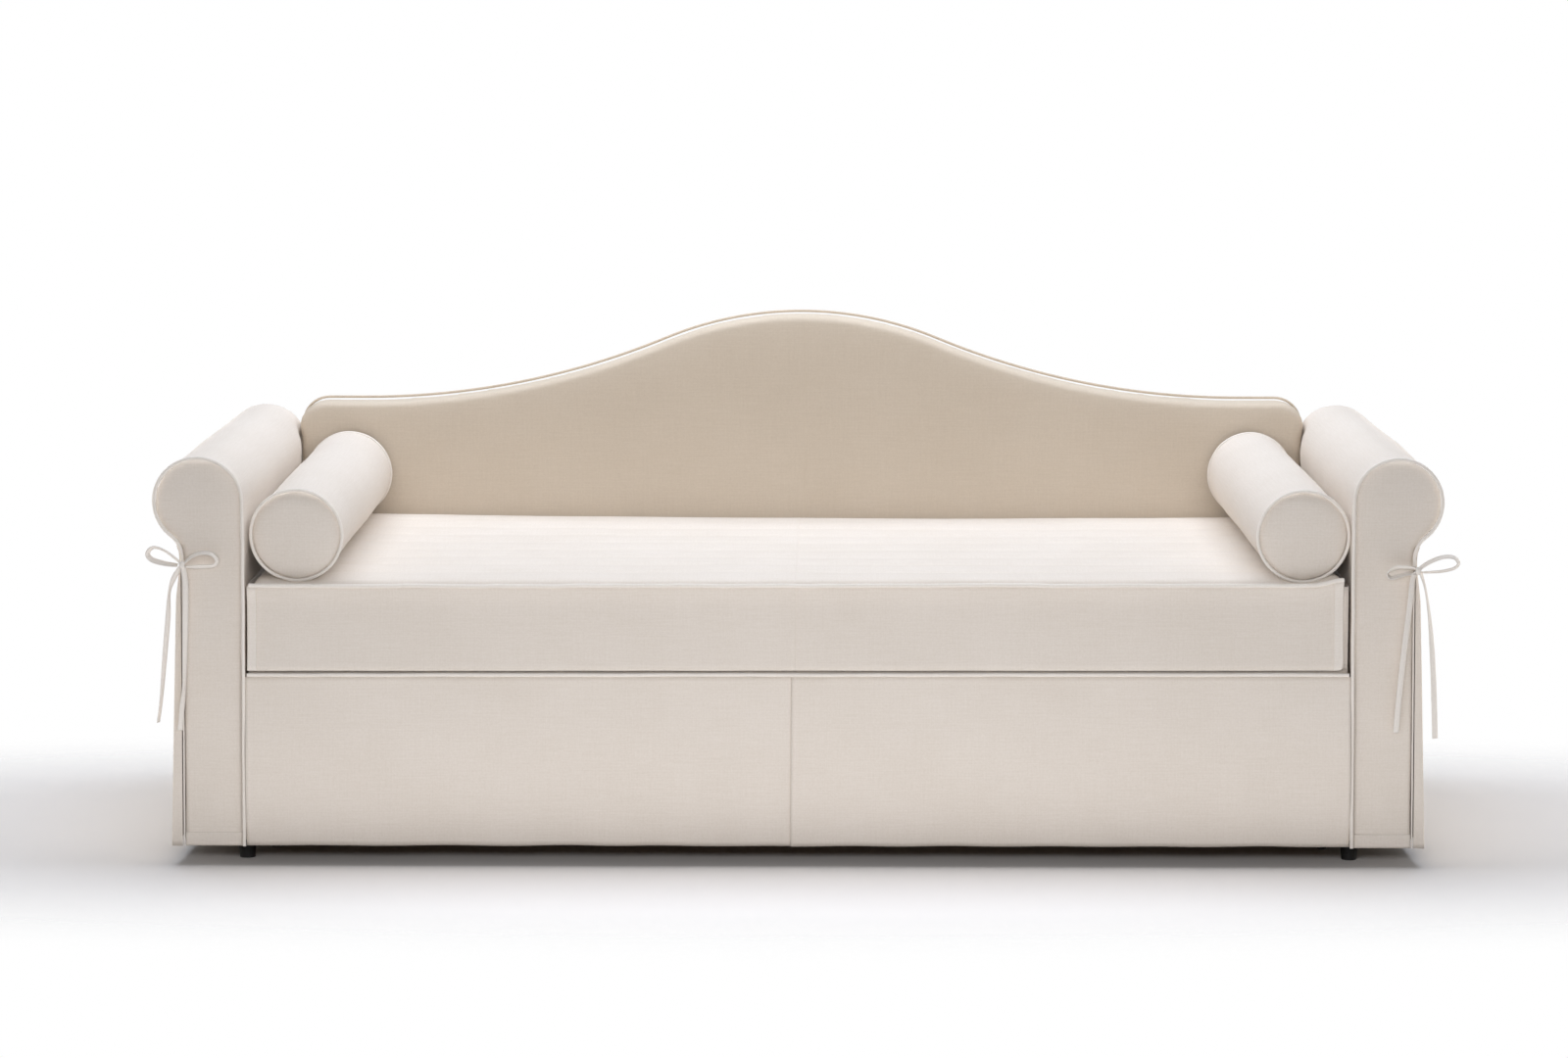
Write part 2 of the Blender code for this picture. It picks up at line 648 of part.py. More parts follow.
def make_back_bolts(rail, back, half, rear):
    head_seat = rear - RAIL_WIDTH - FIT
    length = BOARD_MIDDLE - head_seat
    for word, side in SIDES.items():
        x = side * (half - BACK_BOLT_INSET)
        put_bolt("back_bolt_" + word, length, (x, BOARD_MIDDLE, BASE_RAIL_MIDDLE), UPRIGHT)
        middle = (x, BOARD_MIDDLE - length / 2, BASE_RAIL_MIDDLE)
        hole = bolt_hole("back_bolt_hole_" + word, length + 2 * FIT, middle, UPRIGHT)
        for piece in (rail, *back):
            combine(piece, hole)


def make_mattress():
    low = DROP_HEM - 2 * MATTRESS_END_ROUND
    cover_mesh = plate_mesh(
        "mattress_cover", [channelled(0.0, low)], COVER_WIDTH, MATTRESS_END_ROUND, ROUND_RESOLUTION)
    cover = put("mattress_cover", cover_mesh, CANVAS, (0, 0, 0), SIDEWAYS)
    hollow_mesh = plate_mesh(
        "mattress_hollow", [channelled(CLOTH, low)], COVER_WIDTH - 2 * CLOTH, MATTRESS_END_ROUND - CLOTH)
    combine(cover, put_cutter("mattress_hollow", hollow_mesh, (0, 0, 0), SIDEWAYS))
    trim_low = (-BED_WIDTH, COVER_FRONT - OVERCUT, low - OVERCUT)
    combine(cover, put_box_cutter("mattress_trim", trim_low, (BED_WIDTH, BACK_FRONT + OVERCUT, DROP_HEM)))
    for word, side in SIDES.items():
        x = side * (COVER_WIDTH / 2 - FLAP_INSET)
        slit_low = (x - FLAP_SLIT / 2, COVER_FRONT - OVERCUT, DROP_HEM - OVERCUT)
        slit_high = (x + FLAP_SLIT / 2, COVER_FRONT + 2 * CLOTH, COVER_TOP - FLAP_TOP)
        combine(cover, put_box_cutter("mattress_flap_" + word, slit_low, slit_high))

    skin = CLOTH + FIT
    fill_mesh = plate_mesh(
        "mattress", [channelled(skin, MATTRESS_BOTTOM)], COVER_WIDTH - 2 * skin, MATTRESS_END_ROUND - skin)
    put("mattress", fill_mesh, FOAM, (0, 0, 0), SIDEWAYS)
    reach = COVER_WIDTH / 2 - FLAP_INSET
    corner = (MATTRESS_ROUND + FIT + PIPING_RADIUS) * math.sqrt(0.5) - MATTRESS_ROUND
    place = (0, COVER_FRONT - corner, FRONT_EDGE + corner)
    put("mattress_piping", piping_mesh("mattress_piping", [(-reach, 0, 0), (reach, 0, 0)]), CANVAS, place)


def make_bolster(word, side):
    front = COVER_FRONT + BOLSTER_SETBACK
    half = (BACK_FRONT - BOLSTER_REAR_GAP - front) / 2
    rim = BOLSTER_RADIUS - BOLSTER_SWELL
    shoulder = half - BOLSTER_CROWN
    dome = []
    for step in range(DOME_STEPS):
        share = step / DOME_STEPS
        dome.append(((rim - BOLSTER_EDGE) * share, half - BOLSTER_CROWN * share ** 2))
    edge = arc((rim - BOLSTER_EDGE, shoulder - BOLSTER_EDGE), BOLSTER_EDGE, math.pi / 2, 0.0, EDGE_STEPS)
    profile = mirrored_profile(dome + edge)
    profile.insert(len(profile) // 2, (BOLSTER_RADIUS, 0.0))
    x = side * (BED_WIDTH / 2 - BOLSTER_WALL_GAP - BOLSTER_RADIUS)
    slope = math.atan(MATTRESS_RISE / TOP_RUN)
    behind = COVER_REAR - MATTRESS_ROUND - front - half
    z = COVER_TOP - behind * math.tan(slope) + (BOLSTER_RADIUS + FIT) / math.cos(slope)
    turn = (math.pi / 2 + slope, 0, BOLSTER_TURN[word])
    turned("bolster_" + word, profile, CANVAS, BOLSTER_STEPS, (x, front + half, z), turn)


# One half of the skirt: a sheet with soft folds that deepen toward the hem, open at the slit
def make_skirt_half(word, side, parent):
    work = bmesh.new()
    columns = SKIRT_FOLDS * FOLD_STEPS
    reach = BED_WIDTH / 2 - SKIRT_PLAY - side * SLIT_X
    bmesh.ops.create_grid(work, x_segments=columns, y_segments=SKIRT_ROWS, size=0.5)
    for vert in work.verts:
        across = vert.co.x + 0.5
        down = 0.5 - vert.co.y
        start = FIT + SKIRT_SLIT / 2 * down
        fold = SKIRT_FOLD_DEPTH * down * (1 - math.cos(2 * math.pi * SKIRT_FOLDS * across)) / 2
        x = SLIT_X + side * (start + (reach - start) * across)
        vert.co = Vector((x, SKIRT_FRONT - fold, SKIRT_TOP + (HEM - SKIRT_TOP) * down)) - parent.location
    if side < 0:
        bmesh.ops.reverse_faces(work, faces=work.faces)
    name = "skirt_" + word
    skirt = put(name, mesh_from(work, name), CANVAS, parent.location, parent=parent)
    shell = skirt.modifiers.new("cloth", 'SOLIDIFY')
    shell.thickness = SKIRT_CLOTH
    shell.offset = -1.0


def make_trundle_front(parent):
    half = TRUNDLE_WIDTH / 2
    for word, side in SIDES.items():
        make_skirt_half(word, side, parent)
    pleat_low = (SLIT_X - PLEAT_WIDTH / 2, PLEAT_FRONT, HEM + PLEAT_LIFT)
    pleat_high = (SLIT_X + PLEAT_WIDTH / 2, PLEAT_FRONT + SKIRT_CLOTH, SKIRT_TOP)
    put_box("skirt_pleat", pleat_low, pleat_high, CANVAS, parent)
    place = (0, SKIRT_FRONT + SKIRT_CLOTH / 2, SKIRT_TOP + FIT + PIPING_RADIUS)
    end = BED_WIDTH / 2 - SKIRT_PLAY
    cord_mesh = piping_mesh("skirt_piping", [(-end, 0, 0), (end, 0, 0)])
    put("skirt_piping", cord_mesh, CANVAS, place, parent=parent)
    board_low = (-half, BOARD_FRONT, FRONT_BOARD_BOTTOM)
    put_box("trundle_front_board", board_low, (half, BOARD_REAR, SKIRT_TOP), TIMBER, parent)


def make_trundle_bed(parent):
    half = TRUNDLE_WIDTH / 2
    ends = (TRUNDLE_FRONT, TRUNDLE_REAR)
    make_rails("trundle", half, *ends, TRUNDLE_RAIL_TOP, TRUNDLE_RAIL_HEIGHT, False, parent)
    slat_bottom = TRUNDLE_RAIL_TOP + FIT
    make_slats("trundle_slats", half, *ends, slat_bottom, parent)
    bottom = slat_bottom + SLAT + FIT
    low = (-half + SIDE_PLAY, TRUNDLE_FRONT + SIDE_PLAY, bottom)
    high = (half - SIDE_PLAY, TRUNDLE_REAR - SIDE_PLAY, bottom + TRUNDLE_MATTRESS)
    mattress = put_box("trundle_mattress", low, high, FOAM, parent)
    edge = mattress.modifiers.new("edge", 'BEVEL')
    edge.width = TRUNDLE_MATTRESS_ROUND
    edge.segments = EDGE_STEPS - 1


# Pressed bracket: a channel cut to the side view of a flange and two round-ended cheeks
def make_bracket(word, x, y, parent):
    top = CASTOR_HEIGHT
    inner = WHEEL_WIDTH / 2 + BRACKET_PLAY
    outer = inner + BRACKET
    low = WHEEL_HEIGHT - CHEEK_END_RADIUS - OVERCUT
    web = top - BRACKET
    channel = [(outer, low), (outer, top), (-outer, top), (-outer, low)]
    channel += [(-inner, low), (-inner, web), (inner, web), (inner, low)]
    name = "castor_bracket_" + word
    bracket = put(name, plate_mesh(name, [channel], BRACKET_LENGTH), PRESSED, (x, y, 0), UPRIGHT, parent)
    flange = BRACKET_LENGTH / 2 + OVERCUT
    end = arc((0.0, WHEEL_HEIGHT), CHEEK_END_RADIUS, math.pi, 2 * math.pi, CORNER_STEPS)
    lip = web - BRACKET_LIP
    side_view = [(flange, top + OVERCUT), (-flange, top + OVERCUT), (-flange, lip), (-CHEEK_TOP / 2, lip)]
    side_view += end + [(CHEEK_TOP / 2, lip), (flange, lip)]
    view_mesh = plate_mesh("bracket_side_" + word, [side_view], 2 * outer + OVERCUT)
    combine(bracket, put_cutter("bracket_side_" + word, view_mesh, (x, y, 0), SIDEWAYS), 'INTERSECT')
    hole_mesh = rod_mesh("axle_hole_" + word, AXLE_RADIUS + FIT, 2 * outer + OVERCUT, PIN_STEPS)
    combine(bracket, put_cutter("axle_hole_" + word, hole_mesh, (x, y, WHEEL_HEIGHT), ALONG_X))


def make_castor(word, x, y, parent):
    make_bracket(word, x, y, parent)
    center = (x, y, WHEEL_HEIGHT)
    cheek = WHEEL_WIDTH / 2 + BRACKET_PLAY + BRACKET + FIT
    axle = [
        (0.0, cheek + AXLE_HEAD),
        (AXLE_HEAD_RADIUS, cheek + AXLE_HEAD),
        (AXLE_HEAD_RADIUS, cheek),
        (AXLE_RADIUS, cheek),
    ]
    turned("castor_axle_" + word, mirrored_profile(axle), STEEL, PIN_STEPS, center, ALONG_X, parent)
    half = WHEEL_WIDTH / 2
    bore = AXLE_RADIUS + FIT
    tread_center = (WHEEL_RADIUS - WHEEL_ROUND, half - WHEEL_ROUND)
    tread = arc(tread_center, WHEEL_ROUND, math.pi / 2, 0.0, EDGE_STEPS - 1)
    web = WHEEL_WEB / 2
    wheel = [(bore, half), (HUB_RADIUS, half), (HUB_RADIUS, web), (RIM_RADIUS, web), (RIM_RADIUS, half)]
    profile = mirrored_profile(wheel + tread)
    turned("castor_wheel_" + word, profile, RUBBER, TURN_STEPS, center, ALONG_X, parent, ring=True)


def make_trundle():
    carriage = bpy.data.objects.new("trundle", None)
    carriage.location = (0, SKIRT_FRONT, CASTOR_HEIGHT)
    PARTS.objects.link(carriage)
    make_trundle_front(carriage)
    make_trundle_bed(carriage)
    for end, y in (("front", TRUNDLE_FRONT + CASTOR_INSET), ("rear", TRUNDLE_REAR - CASTOR_INSET)):
        for word, side in SIDES.items():
            make_castor(end + "_" + word, side * CASTOR_X, y, carriage)


def build():
    covers = {}
    panels = {}
    for word, side in SIDES.items():
        covers[word], panels[word] = make_arm(word, side)
    back = make_back()
    make_base(covers, panels, back)
    make_mattress()
    for word, side in SIDES.items():
        make_bolster(word, side)
    make_trundle()


build()
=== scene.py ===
import math
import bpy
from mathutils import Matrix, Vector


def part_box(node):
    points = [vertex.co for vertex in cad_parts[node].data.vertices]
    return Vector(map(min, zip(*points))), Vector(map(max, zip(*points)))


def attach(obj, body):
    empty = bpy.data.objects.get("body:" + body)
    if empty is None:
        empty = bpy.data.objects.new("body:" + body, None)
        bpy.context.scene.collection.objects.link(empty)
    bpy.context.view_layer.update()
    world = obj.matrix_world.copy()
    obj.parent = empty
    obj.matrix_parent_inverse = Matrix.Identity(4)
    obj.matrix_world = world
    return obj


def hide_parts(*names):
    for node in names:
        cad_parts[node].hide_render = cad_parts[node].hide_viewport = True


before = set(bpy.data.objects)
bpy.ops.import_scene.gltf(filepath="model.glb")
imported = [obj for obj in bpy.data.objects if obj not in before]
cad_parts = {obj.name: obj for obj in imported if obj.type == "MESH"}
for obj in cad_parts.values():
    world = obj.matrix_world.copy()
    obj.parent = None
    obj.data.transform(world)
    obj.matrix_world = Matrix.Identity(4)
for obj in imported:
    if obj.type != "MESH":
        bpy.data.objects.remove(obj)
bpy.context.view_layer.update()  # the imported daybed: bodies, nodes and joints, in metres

from types import SimpleNamespace as Settings

import bmesh
import bpy
from mathutils import Matrix, Vector, noise
from mathutils.bvhtree import BVHTree

scene = bpy.context.scene
sides = {"left": -1, "right": 1}


class Value:  # a socket that takes part in sums
    def __init__(self, look, socket):
        self.look = look
        self.socket = socket

    def math(self, operation, second=0.0):
        return self.look.add("ShaderNodeMath", {"operation": operation}, {0: self, 1: second})

    def __add__(self, other):
        return self.math("ADD", other)

    def __sub__(self, other):
        return self.math("SUBTRACT", other)

    def __mul__(self, other):
        return self.math("MULTIPLY", other)

    __radd__ = __add__

    def sine(self):
        return self.math("SINE")


class Look:  # the nodes of a material or of the world
    def __init__(self, owner, shader="Principled BSDF"):
        owner.use_nodes = True
        self.owner = owner
        self.tree = owner.node_tree
        self.shader = self.tree.nodes[shader]

    def add(self, kind, settings=None, sockets=None, out=0):
        node = self.tree.nodes.new(kind)
        for key, value in (settings or {}).items():
            setattr(node, key, value)
        for key, value in (sockets or {}).items():
            self.feed(node.inputs[key], value)
        if isinstance(out, tuple):
            return tuple(Value(self, node.outputs[item]) for item in out)
        return Value(self, node.outputs[out])

    def feed(self, socket, value):
        if isinstance(value, Value):
            self.tree.links.new(value.socket, socket)
        else:
            socket.default_value = value

    def spread(self, vector, factors):  # stretches a pattern
        return self.add("ShaderNodeVectorMath", {"operation": "MULTIPLY"}, {0: vector, 1: factors})

    def clouds(self, vector, scale, detail=2.0):
        return self.add("ShaderNodeTexNoise", None, {"Vector": vector, "Scale": scale, "Detail": detail})

    def mix(self, share, first, second):  # two colours
        return self.add("ShaderNodeMix", {"data_type": "RGBA"}, {0: share, 6: first, 7: second}, 2)

    def relief(self, height, strength, distance):
        sockets = {"Height": height, "Strength": strength, "Distance": distance}
        self.feed(self.shader.inputs["Normal"], self.add("ShaderNodeBump", None, sockets))

    def finish(self, sockets):
        for key, value in sockets.items():
            self.feed(self.shader.inputs[key], value)
        return self.owner


def newLook(name):
    return Look(bpy.data.materials.new(name))


# Canvas and tape

canvas = Settings(
    pale=(0.865, 0.79, 0.712, 1), deep=(0.70, 0.615, 0.515, 1),
    thread=0.0012,  # metres between threads
    slubs=(14.0, 330.0, 1.0),  # stretch of the long thick threads
    fibres=(70.0, 700.0, 1.0), mottle=5.0, grain=240.0, relief=0.0006, roughness=0.88, sheen=0.12,
)


def canvasLook(name, uv, pale=canvas.pale, deep=canvas.deep):
    look = newLook(name)
    if uv:
        place = look.add("ShaderNodeUVMap", {"uv_map": "weave"})
    else:
        place = look.add("ShaderNodeTexCoord", None, None, "Object")
    across, up = look.add("ShaderNodeSeparateXYZ", None, {0: place}, (0, 1))
    turned = look.add("ShaderNodeCombineXYZ", None, {0: up, 1: across})
    wave = math.pi / canvas.thread
    weave = (across * wave).sine() * (up * wave).sine()
    slub = look.clouds(look.spread(place, canvas.slubs), 1.0)
    crossSlub = look.clouds(look.spread(turned, canvas.slubs), 1.0)
    fibre = look.clouds(look.spread(place, canvas.fibres), 1.0)
    crossFibre = look.clouds(look.spread(turned, canvas.fibres), 1.0)
    mottle = look.clouds(place, canvas.mottle, 3.0)
    grain = look.clouds(place, canvas.grain, 3.0)
    streaks = slub * 0.45 + crossSlub * 0.3 + fibre * 0.3 + crossFibre * 0.3
    share = streaks * 0.85 + mottle * 0.4 + grain * 0.5 - 0.70
    look.relief(weave * 0.5 + streaks * 0.9, 0.35, canvas.relief)
    return look.finish({
        "Base Color": look.mix(share, pale, deep),
        "Roughness": canvas.roughness + (fibre - 0.5) * 0.12,
        "Sheen Weight": canvas.sheen,
        "Sheen Roughness": 0.45,
        "Specular IOR Level": 0.25,
    })


# The back, its piping and its seam are the same canvas painted darker and warmer: painted shade, for the
# back standing in shade behind the mattress and arms, warmed by light bounced off the cloth.
paintedShadeBackTones = (0.735, 0.635, 0.515, 1), (0.59, 0.49, 0.375, 1)
canvasCloth = canvasLook("ecru canvas", True)
canvasBackPaintedShade = canvasLook("ecru canvas with painted shade, for the back", True, *paintedShadeBackTones)
backTrimPaintedShade = canvasLook("seam of the back, with painted shade", False, *paintedShadeBackTones)
seamCloth = canvasLook("sewn seam", False)
# Piping, folded edges and edge tapes are the same canvas painted paler: painted light, for the light the
# raised trim catches.
paintedLightTrim = canvasLook("ecru canvas, paler for painted light on the piping", False, (0.93, 0.87, 0.80, 1), (0.80, 0.725, 0.64, 1))
canvasHem = canvasLook("doubled canvas", True, (0.905, 0.84, 0.768, 1), (0.75, 0.67, 0.575, 1))
tapeCloth = canvasLook("cotton tape", True, (0.93, 0.875, 0.81, 1), (0.79, 0.73, 0.66, 1))


# Making and soft shaping

cloth = Settings(quality=3, mass=0.25, steps=20)


def linked(name, data):
    piece = bpy.data.objects.new(name, data)
    scene.collection.objects.link(piece)
    return piece


def newPiece(name, mesh, look, body, *nodes):
    piece = linked(name, mesh)
    mesh.materials.clear()
    mesh.materials.append(look)
    mesh.polygons.foreach_set("use_smooth", [True] * len(mesh.polygons))
    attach(piece, body)
    "tape" if look == tapeCloth else "canvas"
    if nodes:
        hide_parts(*nodes)
    return piece


def hang(name, mesh, look, body, thickness, flat, held, under, *nodes, offset=-1.0):  # a sheet of cloth
    piece = newPiece(name, mesh, look, body, *nodes)
    step = piece.modifiers.new("thickness", "SOLIDIFY")
    step.thickness = thickness
    step.offset = offset


def meshFrom(work, name):
    mesh = bpy.data.meshes.new(name)
    work.to_mesh(mesh)
    work.free()
    return mesh


def workOn(mesh):
    work = bmesh.new()
    work.from_mesh(mesh)
    return work


def putBack(work, mesh):
    work.to_mesh(mesh)
    work.free()


def tracePath(start, moves):  # a line in the front plane: straight runs and turns about a centre
    work = bmesh.new()
    last = work.verts.new((start[0], 0, start[1]))
    for move in moves:
        if len(move) == 2:
            last = bmesh.ops.extrude_vert_indiv(work, verts=[last])["verts"][0]
            last.co = (move[0], 0, move[1])
        else:
            x, z, turn, steps = move
            made = bmesh.ops.spin(
                work, geom=[last], cent=(x, 0, z), axis=(0, -1, 0), dvec=(0, 0, 0), angle=turn, steps=steps)
            last = [item for item in made["geom_last"] if isinstance(item, bmesh.types.BMVert)][0]
    return work


def pathPoints(work):
    points = [vert.co.copy() for vert in work.verts]
    work.free()
    return points


def fillPath(work, front, rear):  # closes a traced line and gives it depth
    verts = list(work.verts)
    bmesh.ops.contextual_create(work, geom=[verts[0], verts[-1]])
    bmesh.ops.contextual_create(work, geom=work.edges[:])
    bmesh.ops.translate(work, vec=(0, front, 0), verts=work.verts)
    made = bmesh.ops.extrude_face_region(work, geom=work.faces[:])
    moved = [item for item in made["geom"] if isinstance(item, bmesh.types.BMVert)]
    bmesh.ops.translate(work, vec=(0, rear - front, 0), verts=moved)
    bmesh.ops.recalc_face_normals(work, faces=work.faces)


def roundOff(work, edges, size, segments):
    bmesh.ops.bevel(
        work, geom=edges, offset=size, segments=segments, profile=0.5, affect="EDGES", material=-1,
        clamp_overlap=True)


def evaluated(draft):
    graph = bpy.context.evaluated_depsgraph_get()
    mesh = bpy.data.meshes.new_from_object(draft.evaluated_get(graph))
    bpy.data.objects.remove(draft)
    return mesh


def modified(mesh, kind, **settings):  # a modifier, applied
    draft = linked(mesh.name, mesh)
    step = draft.modifiers.new(kind, kind)
    for key, value in settings.items():
        setattr(step, key, value)
    return evaluated(draft)


def swell(mesh, pressure, cap):  # stuffing pushes the cloth out, by no more than the cap
    draft = linked(mesh.name, mesh.copy())
    settings = draft.modifiers.new("cloth", "CLOTH").settings
    settings.quality = cloth.quality
    settings.mass = cloth.mass
    settings.use_pressure = True
    settings.uniform_pressure_force = pressure
    settings.effector_weights.gravity = 0
    for step in range(cloth.steps):
        scene.frame_set(step + 1)
    graph = bpy.context.evaluated_depsgraph_get()
    blown = draft.evaluated_get(graph).data
    for vert, swollen in zip(mesh.vertices, blown.vertices):
        move = swollen.co - vert.co
        if move.length > 0:
            vert.co += move * (cap * math.tanh(move.length / cap) / move.length)
    bpy.data.objects.remove(draft)
    scene.frame_set(1)


def stuffed(work, name, pad, rounds=1):  # closed form in even small faces, swollen and smoothed
    mesh = modified(meshFrom(work, name), "REMESH", mode="VOXEL", voxel_size=pad.voxel)
    swell(mesh, pad.pressure, pad.cap)
    work = workOn(mesh)
    for _ in range(rounds):
        bmesh.ops.smooth_vert(
            work, verts=work.verts, factor=0.5, use_axis_x=True, use_axis_y=True, use_axis_z=True)
    putBack(work, mesh)
    return mesh


def stops(start, end, steps):  # even stops along a run, both ends included
    return [start + (end - start) * step / steps for step in range(steps + 1)]


def shape(mesh, move):  # moves every point by hand
    normals = [vert.normal.copy() for vert in mesh.vertices]
    for vert, normal in zip(mesh.vertices, normals):
        vert.co = move(vert.co.copy(), normal)
    mesh.update()


def ease(value, start=0.0, end=1.0):  # 0 to 1 with soft ends
    share = min(1.0, max(0.0, (value - start) / (end - start)))
    return share * share * (3 - 2 * share)


def ripple(spot, wave, seed):  # soft unevenness: a wave is its height, and its size along x, y and z
    height, size = wave
    return height * noise.noise(Vector((
        spot.x / size[0] + seed, spot.y / size[1] - seed, spot.z / size[2] + 2 * seed)))


def weaveOn(mesh, run):  # run gives the weave's place for a point of a face
    work = workOn(mesh)
    weave = work.loops.layers.uv.new("weave")
    for face in work.faces:
        for loop in face.loops:
            loop[weave].uv = run(face, *loop.vert.co)
    putBack(work, mesh)


def straightRun(face, x, y, z):  # the weave runs straight on each side
    tilt = [abs(part) for part in face.normal]
    if tilt[2] == max(tilt):
        return x, y
    if tilt[1] == max(tilt):
        return x, z
    return y, z


def pipe(name, points, radius, look, body, *nodes, closed=False):  # piping, seams and edge tapes
    curve = bpy.data.curves.new(name, "CURVE")
    curve.dimensions = "3D"
    curve.bevel_depth = radius
    curve.bevel_resolution = 3
    curve.use_fill_caps = True
    line = curve.splines.new("POLY")
    line.points.add(len(points) - 1)
    for dot, point in zip(line.points, points):
        dot.co = (*point, 1)
    line.use_cyclic_u = closed
    newPiece(name, evaluated(linked(name, curve)), look, body, *nodes)


def clothSheet(name, columns, rows, place, size):  # place: a point for the shares across and up
    work = bmesh.new()
    bmesh.ops.create_grid(work, x_segments=columns, y_segments=rows, size=0.5)
    weave = work.loops.layers.uv.new("weave")
    for face in work.faces:
        for loop in face.loops:
            loop[weave].uv = ((loop.vert.co.x + 0.5) * size[0], (loop.vert.co.y + 0.5) * size[1])
    for vert in work.verts:
        vert.co = place(vert.co.x + 0.5, vert.co.y + 0.5)
    return meshFrom(work, name)


def drape(name, grid, place, size, body, thickness, held, under, *nodes, flip=False):  # a sheet of canvas
    mesh = clothSheet(name, *grid, place, size)
    if flip:
        mesh.flip_normals()
    hang(name, mesh, canvasCloth, body, thickness, size, held, under, *nodes)


def surfaceOf(name):  # to lay trim on a finished piece
    work = workOn(bpy.data.objects[name].data)
    tree = BVHTree.FromBMesh(work)
    work.free()
    return tree


def frontOf(tree, x, z, deepest):
    spot = tree.ray_cast(Vector((x, -2, z)), Vector((0, 1, 0)))[0]
    return min(spot.y, deepest) if spot else deepest


def topOf(tree, x, y, lowest):
    spot = tree.ray_cast(Vector((x, y, 2)), Vector((0, 0, -1)))[0]
    return max(spot.z, lowest) if spot else lowest


def glide(points, steps):  # a smooth run through a few given points
    line = []
    last = len(points) - 1
    for index in range(last):
        around = [points[min(max(index + shift, 0), last)] for shift in (-1, 0, 1, 2)]
        for step in range(steps):
            t = step / steps
            line.append(tuple(
                0.5 * (2 * b + (c - a) * t + (2 * a - 5 * b + 4 * c - d) * t ** 2
                       + (3 * b - a - 3 * c + d) * t ** 3)
                for a, b, c, d in zip(*around)))
    return line + [tuple(points[-1])]


def joined(name, meshes):
    work = bmesh.new()
    for mesh in meshes:
        work.from_mesh(mesh)
        bpy.data.meshes.remove(mesh)
    return meshFrom(work, name)


def mirrored(mesh):
    work = workOn(mesh)
    bmesh.ops.scale(work, vec=(-1, 1, 1), verts=work.verts)
    bmesh.ops.reverse_faces(work, faces=work.faces)
    putBack(work, mesh)


# Scroll arms

armLow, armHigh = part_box("arm_cover_right")
armInner = armLow.x
armRadius = (armHigh.x - armInner) / 2
scrollHeight = armHigh.z - armRadius
arm = Settings(
    wall=0.110,  # thickness below the scroll
    neck=0.045,  # hollow under the scroll
    inset=0.0012,  # room for the swell
    voxel=0.008, pressure=3.0, cap=0.003,
    broad=(0.0012, (0.20, 0.30, 0.10)), fine=(0.0004, (0.05, 0.08, 0.05)),
    tie=0.5320,  # height where the cover is tied
    lean={"left": 0.007, "right": 0.010},  # rolls come together toward the back
    leanRun=(-0.45, 0.65),
    leanFull=0.45,  # where the lean is as given
    leanHeight=(0.54, 0.64), rollRise=0.004,
    rollReach=0.010,  # roll beyond the CAD's rear
    reachRun=(0.30, 0.45),
    slack=0.0125,  # how far the roll may stand over the seat, before the back
    slackRun=(0.352, 0.368), slackHeight=(0.54, 0.60), innerGap=0.0006,
    innerTop=0.045,  # inner side ends this far over the middle of the scroll
    sag=0.0035,  # hem against the CAD's
    sagFrom=0.10, sagRun=0.062,
    splay=0.0045,  # wider at the floor than at the tie
)
neckX = arm.wall + arm.neck
neckDrop = math.sqrt((armRadius + arm.neck) ** 2 - (neckX - armRadius) ** 2)
neckTurn = math.atan2(neckDrop, neckX - armRadius)
neckHeight = scrollHeight - neckDrop
hemHeight = armLow.z - arm.sag


def keyholePath(inset, bottom, outerBottom):  # right arm from the front, outer side to inner side
    x = armInner
    return tracePath((x + arm.wall - inset, outerBottom), [
        (x + arm.wall - inset, neckHeight),
        (x + neckX, neckHeight, -neckTurn, 8),
        (x + armRadius, scrollHeight, math.pi + neckTurn, 44),
        (x + inset, bottom),
    ])


def splay(z):
    return arm.splay * max(0.0, 1 - z / arm.tie)


def overRoll(face, x, y, z):  # the weave runs over the roll
    middle = armInner + armRadius
    if abs(face.normal.y) > 0.7:
        return x, z
    if z > scrollHeight:
        return y, scrollHeight + armRadius * math.atan2(z - scrollHeight, middle - x)
    if face.calc_center_median().x > middle:
        return y, 2 * scrollHeight + armRadius * math.pi - z
    return y, z


def makeArmPads():
    work = keyholePath(arm.inset, armLow.z, armLow.z)
    fillPath(work, armLow.y + arm.inset, armHigh.y - arm.inset)
    mesh = stuffed(work, "arm", arm)
    for word, side in sides.items():
        own = mesh.copy()

        def settle(spot, normal, seed=3.7 * side, lean=arm.lean[word]):
            spot += normal * (ripple(spot, arm.broad, seed) + ripple(spot, arm.fine, seed))
            drift = ease(spot.y, *arm.leanRun) / ease(arm.leanFull, *arm.leanRun)
            drift *= ease(spot.z, *arm.leanHeight)
            spot.x -= lean * drift
            spot.z += arm.rollRise * drift
            spot.z -= arm.sag * max(0.0, (arm.sagFrom - spot.z) / arm.sagRun)
            spot.y += arm.rollReach * ease(spot.y, *arm.reachRun)
            slack = arm.slack * (1 - ease(spot.y, *arm.slackRun)) * ease(spot.z, *arm.slackHeight)
            if spot.z < scrollHeight + arm.innerTop:
                spot.x = max(spot.x, armInner + arm.innerGap - slack)
            spot.x += splay(spot.z)
            return spot

        shape(own, settle)
        weaveOn(own, overRoll)
        if side < 0:
            mirrored(own)
        pad = newPiece("arm_" + word, own, canvasCloth, "daybed", "arm_cover_" + word,
                       "arm_roll_" + word, "arm_panel_" + word)


armPiping = Settings(
    radius=0.0032, inset=0.0024, front=-0.4548,
    low=0.001,  # over the hem
    step=0.010, wander=(0.0006, (0.06, 1, 0.06)), sway=(0.0005, (0.05, 1, 0.05)),
)


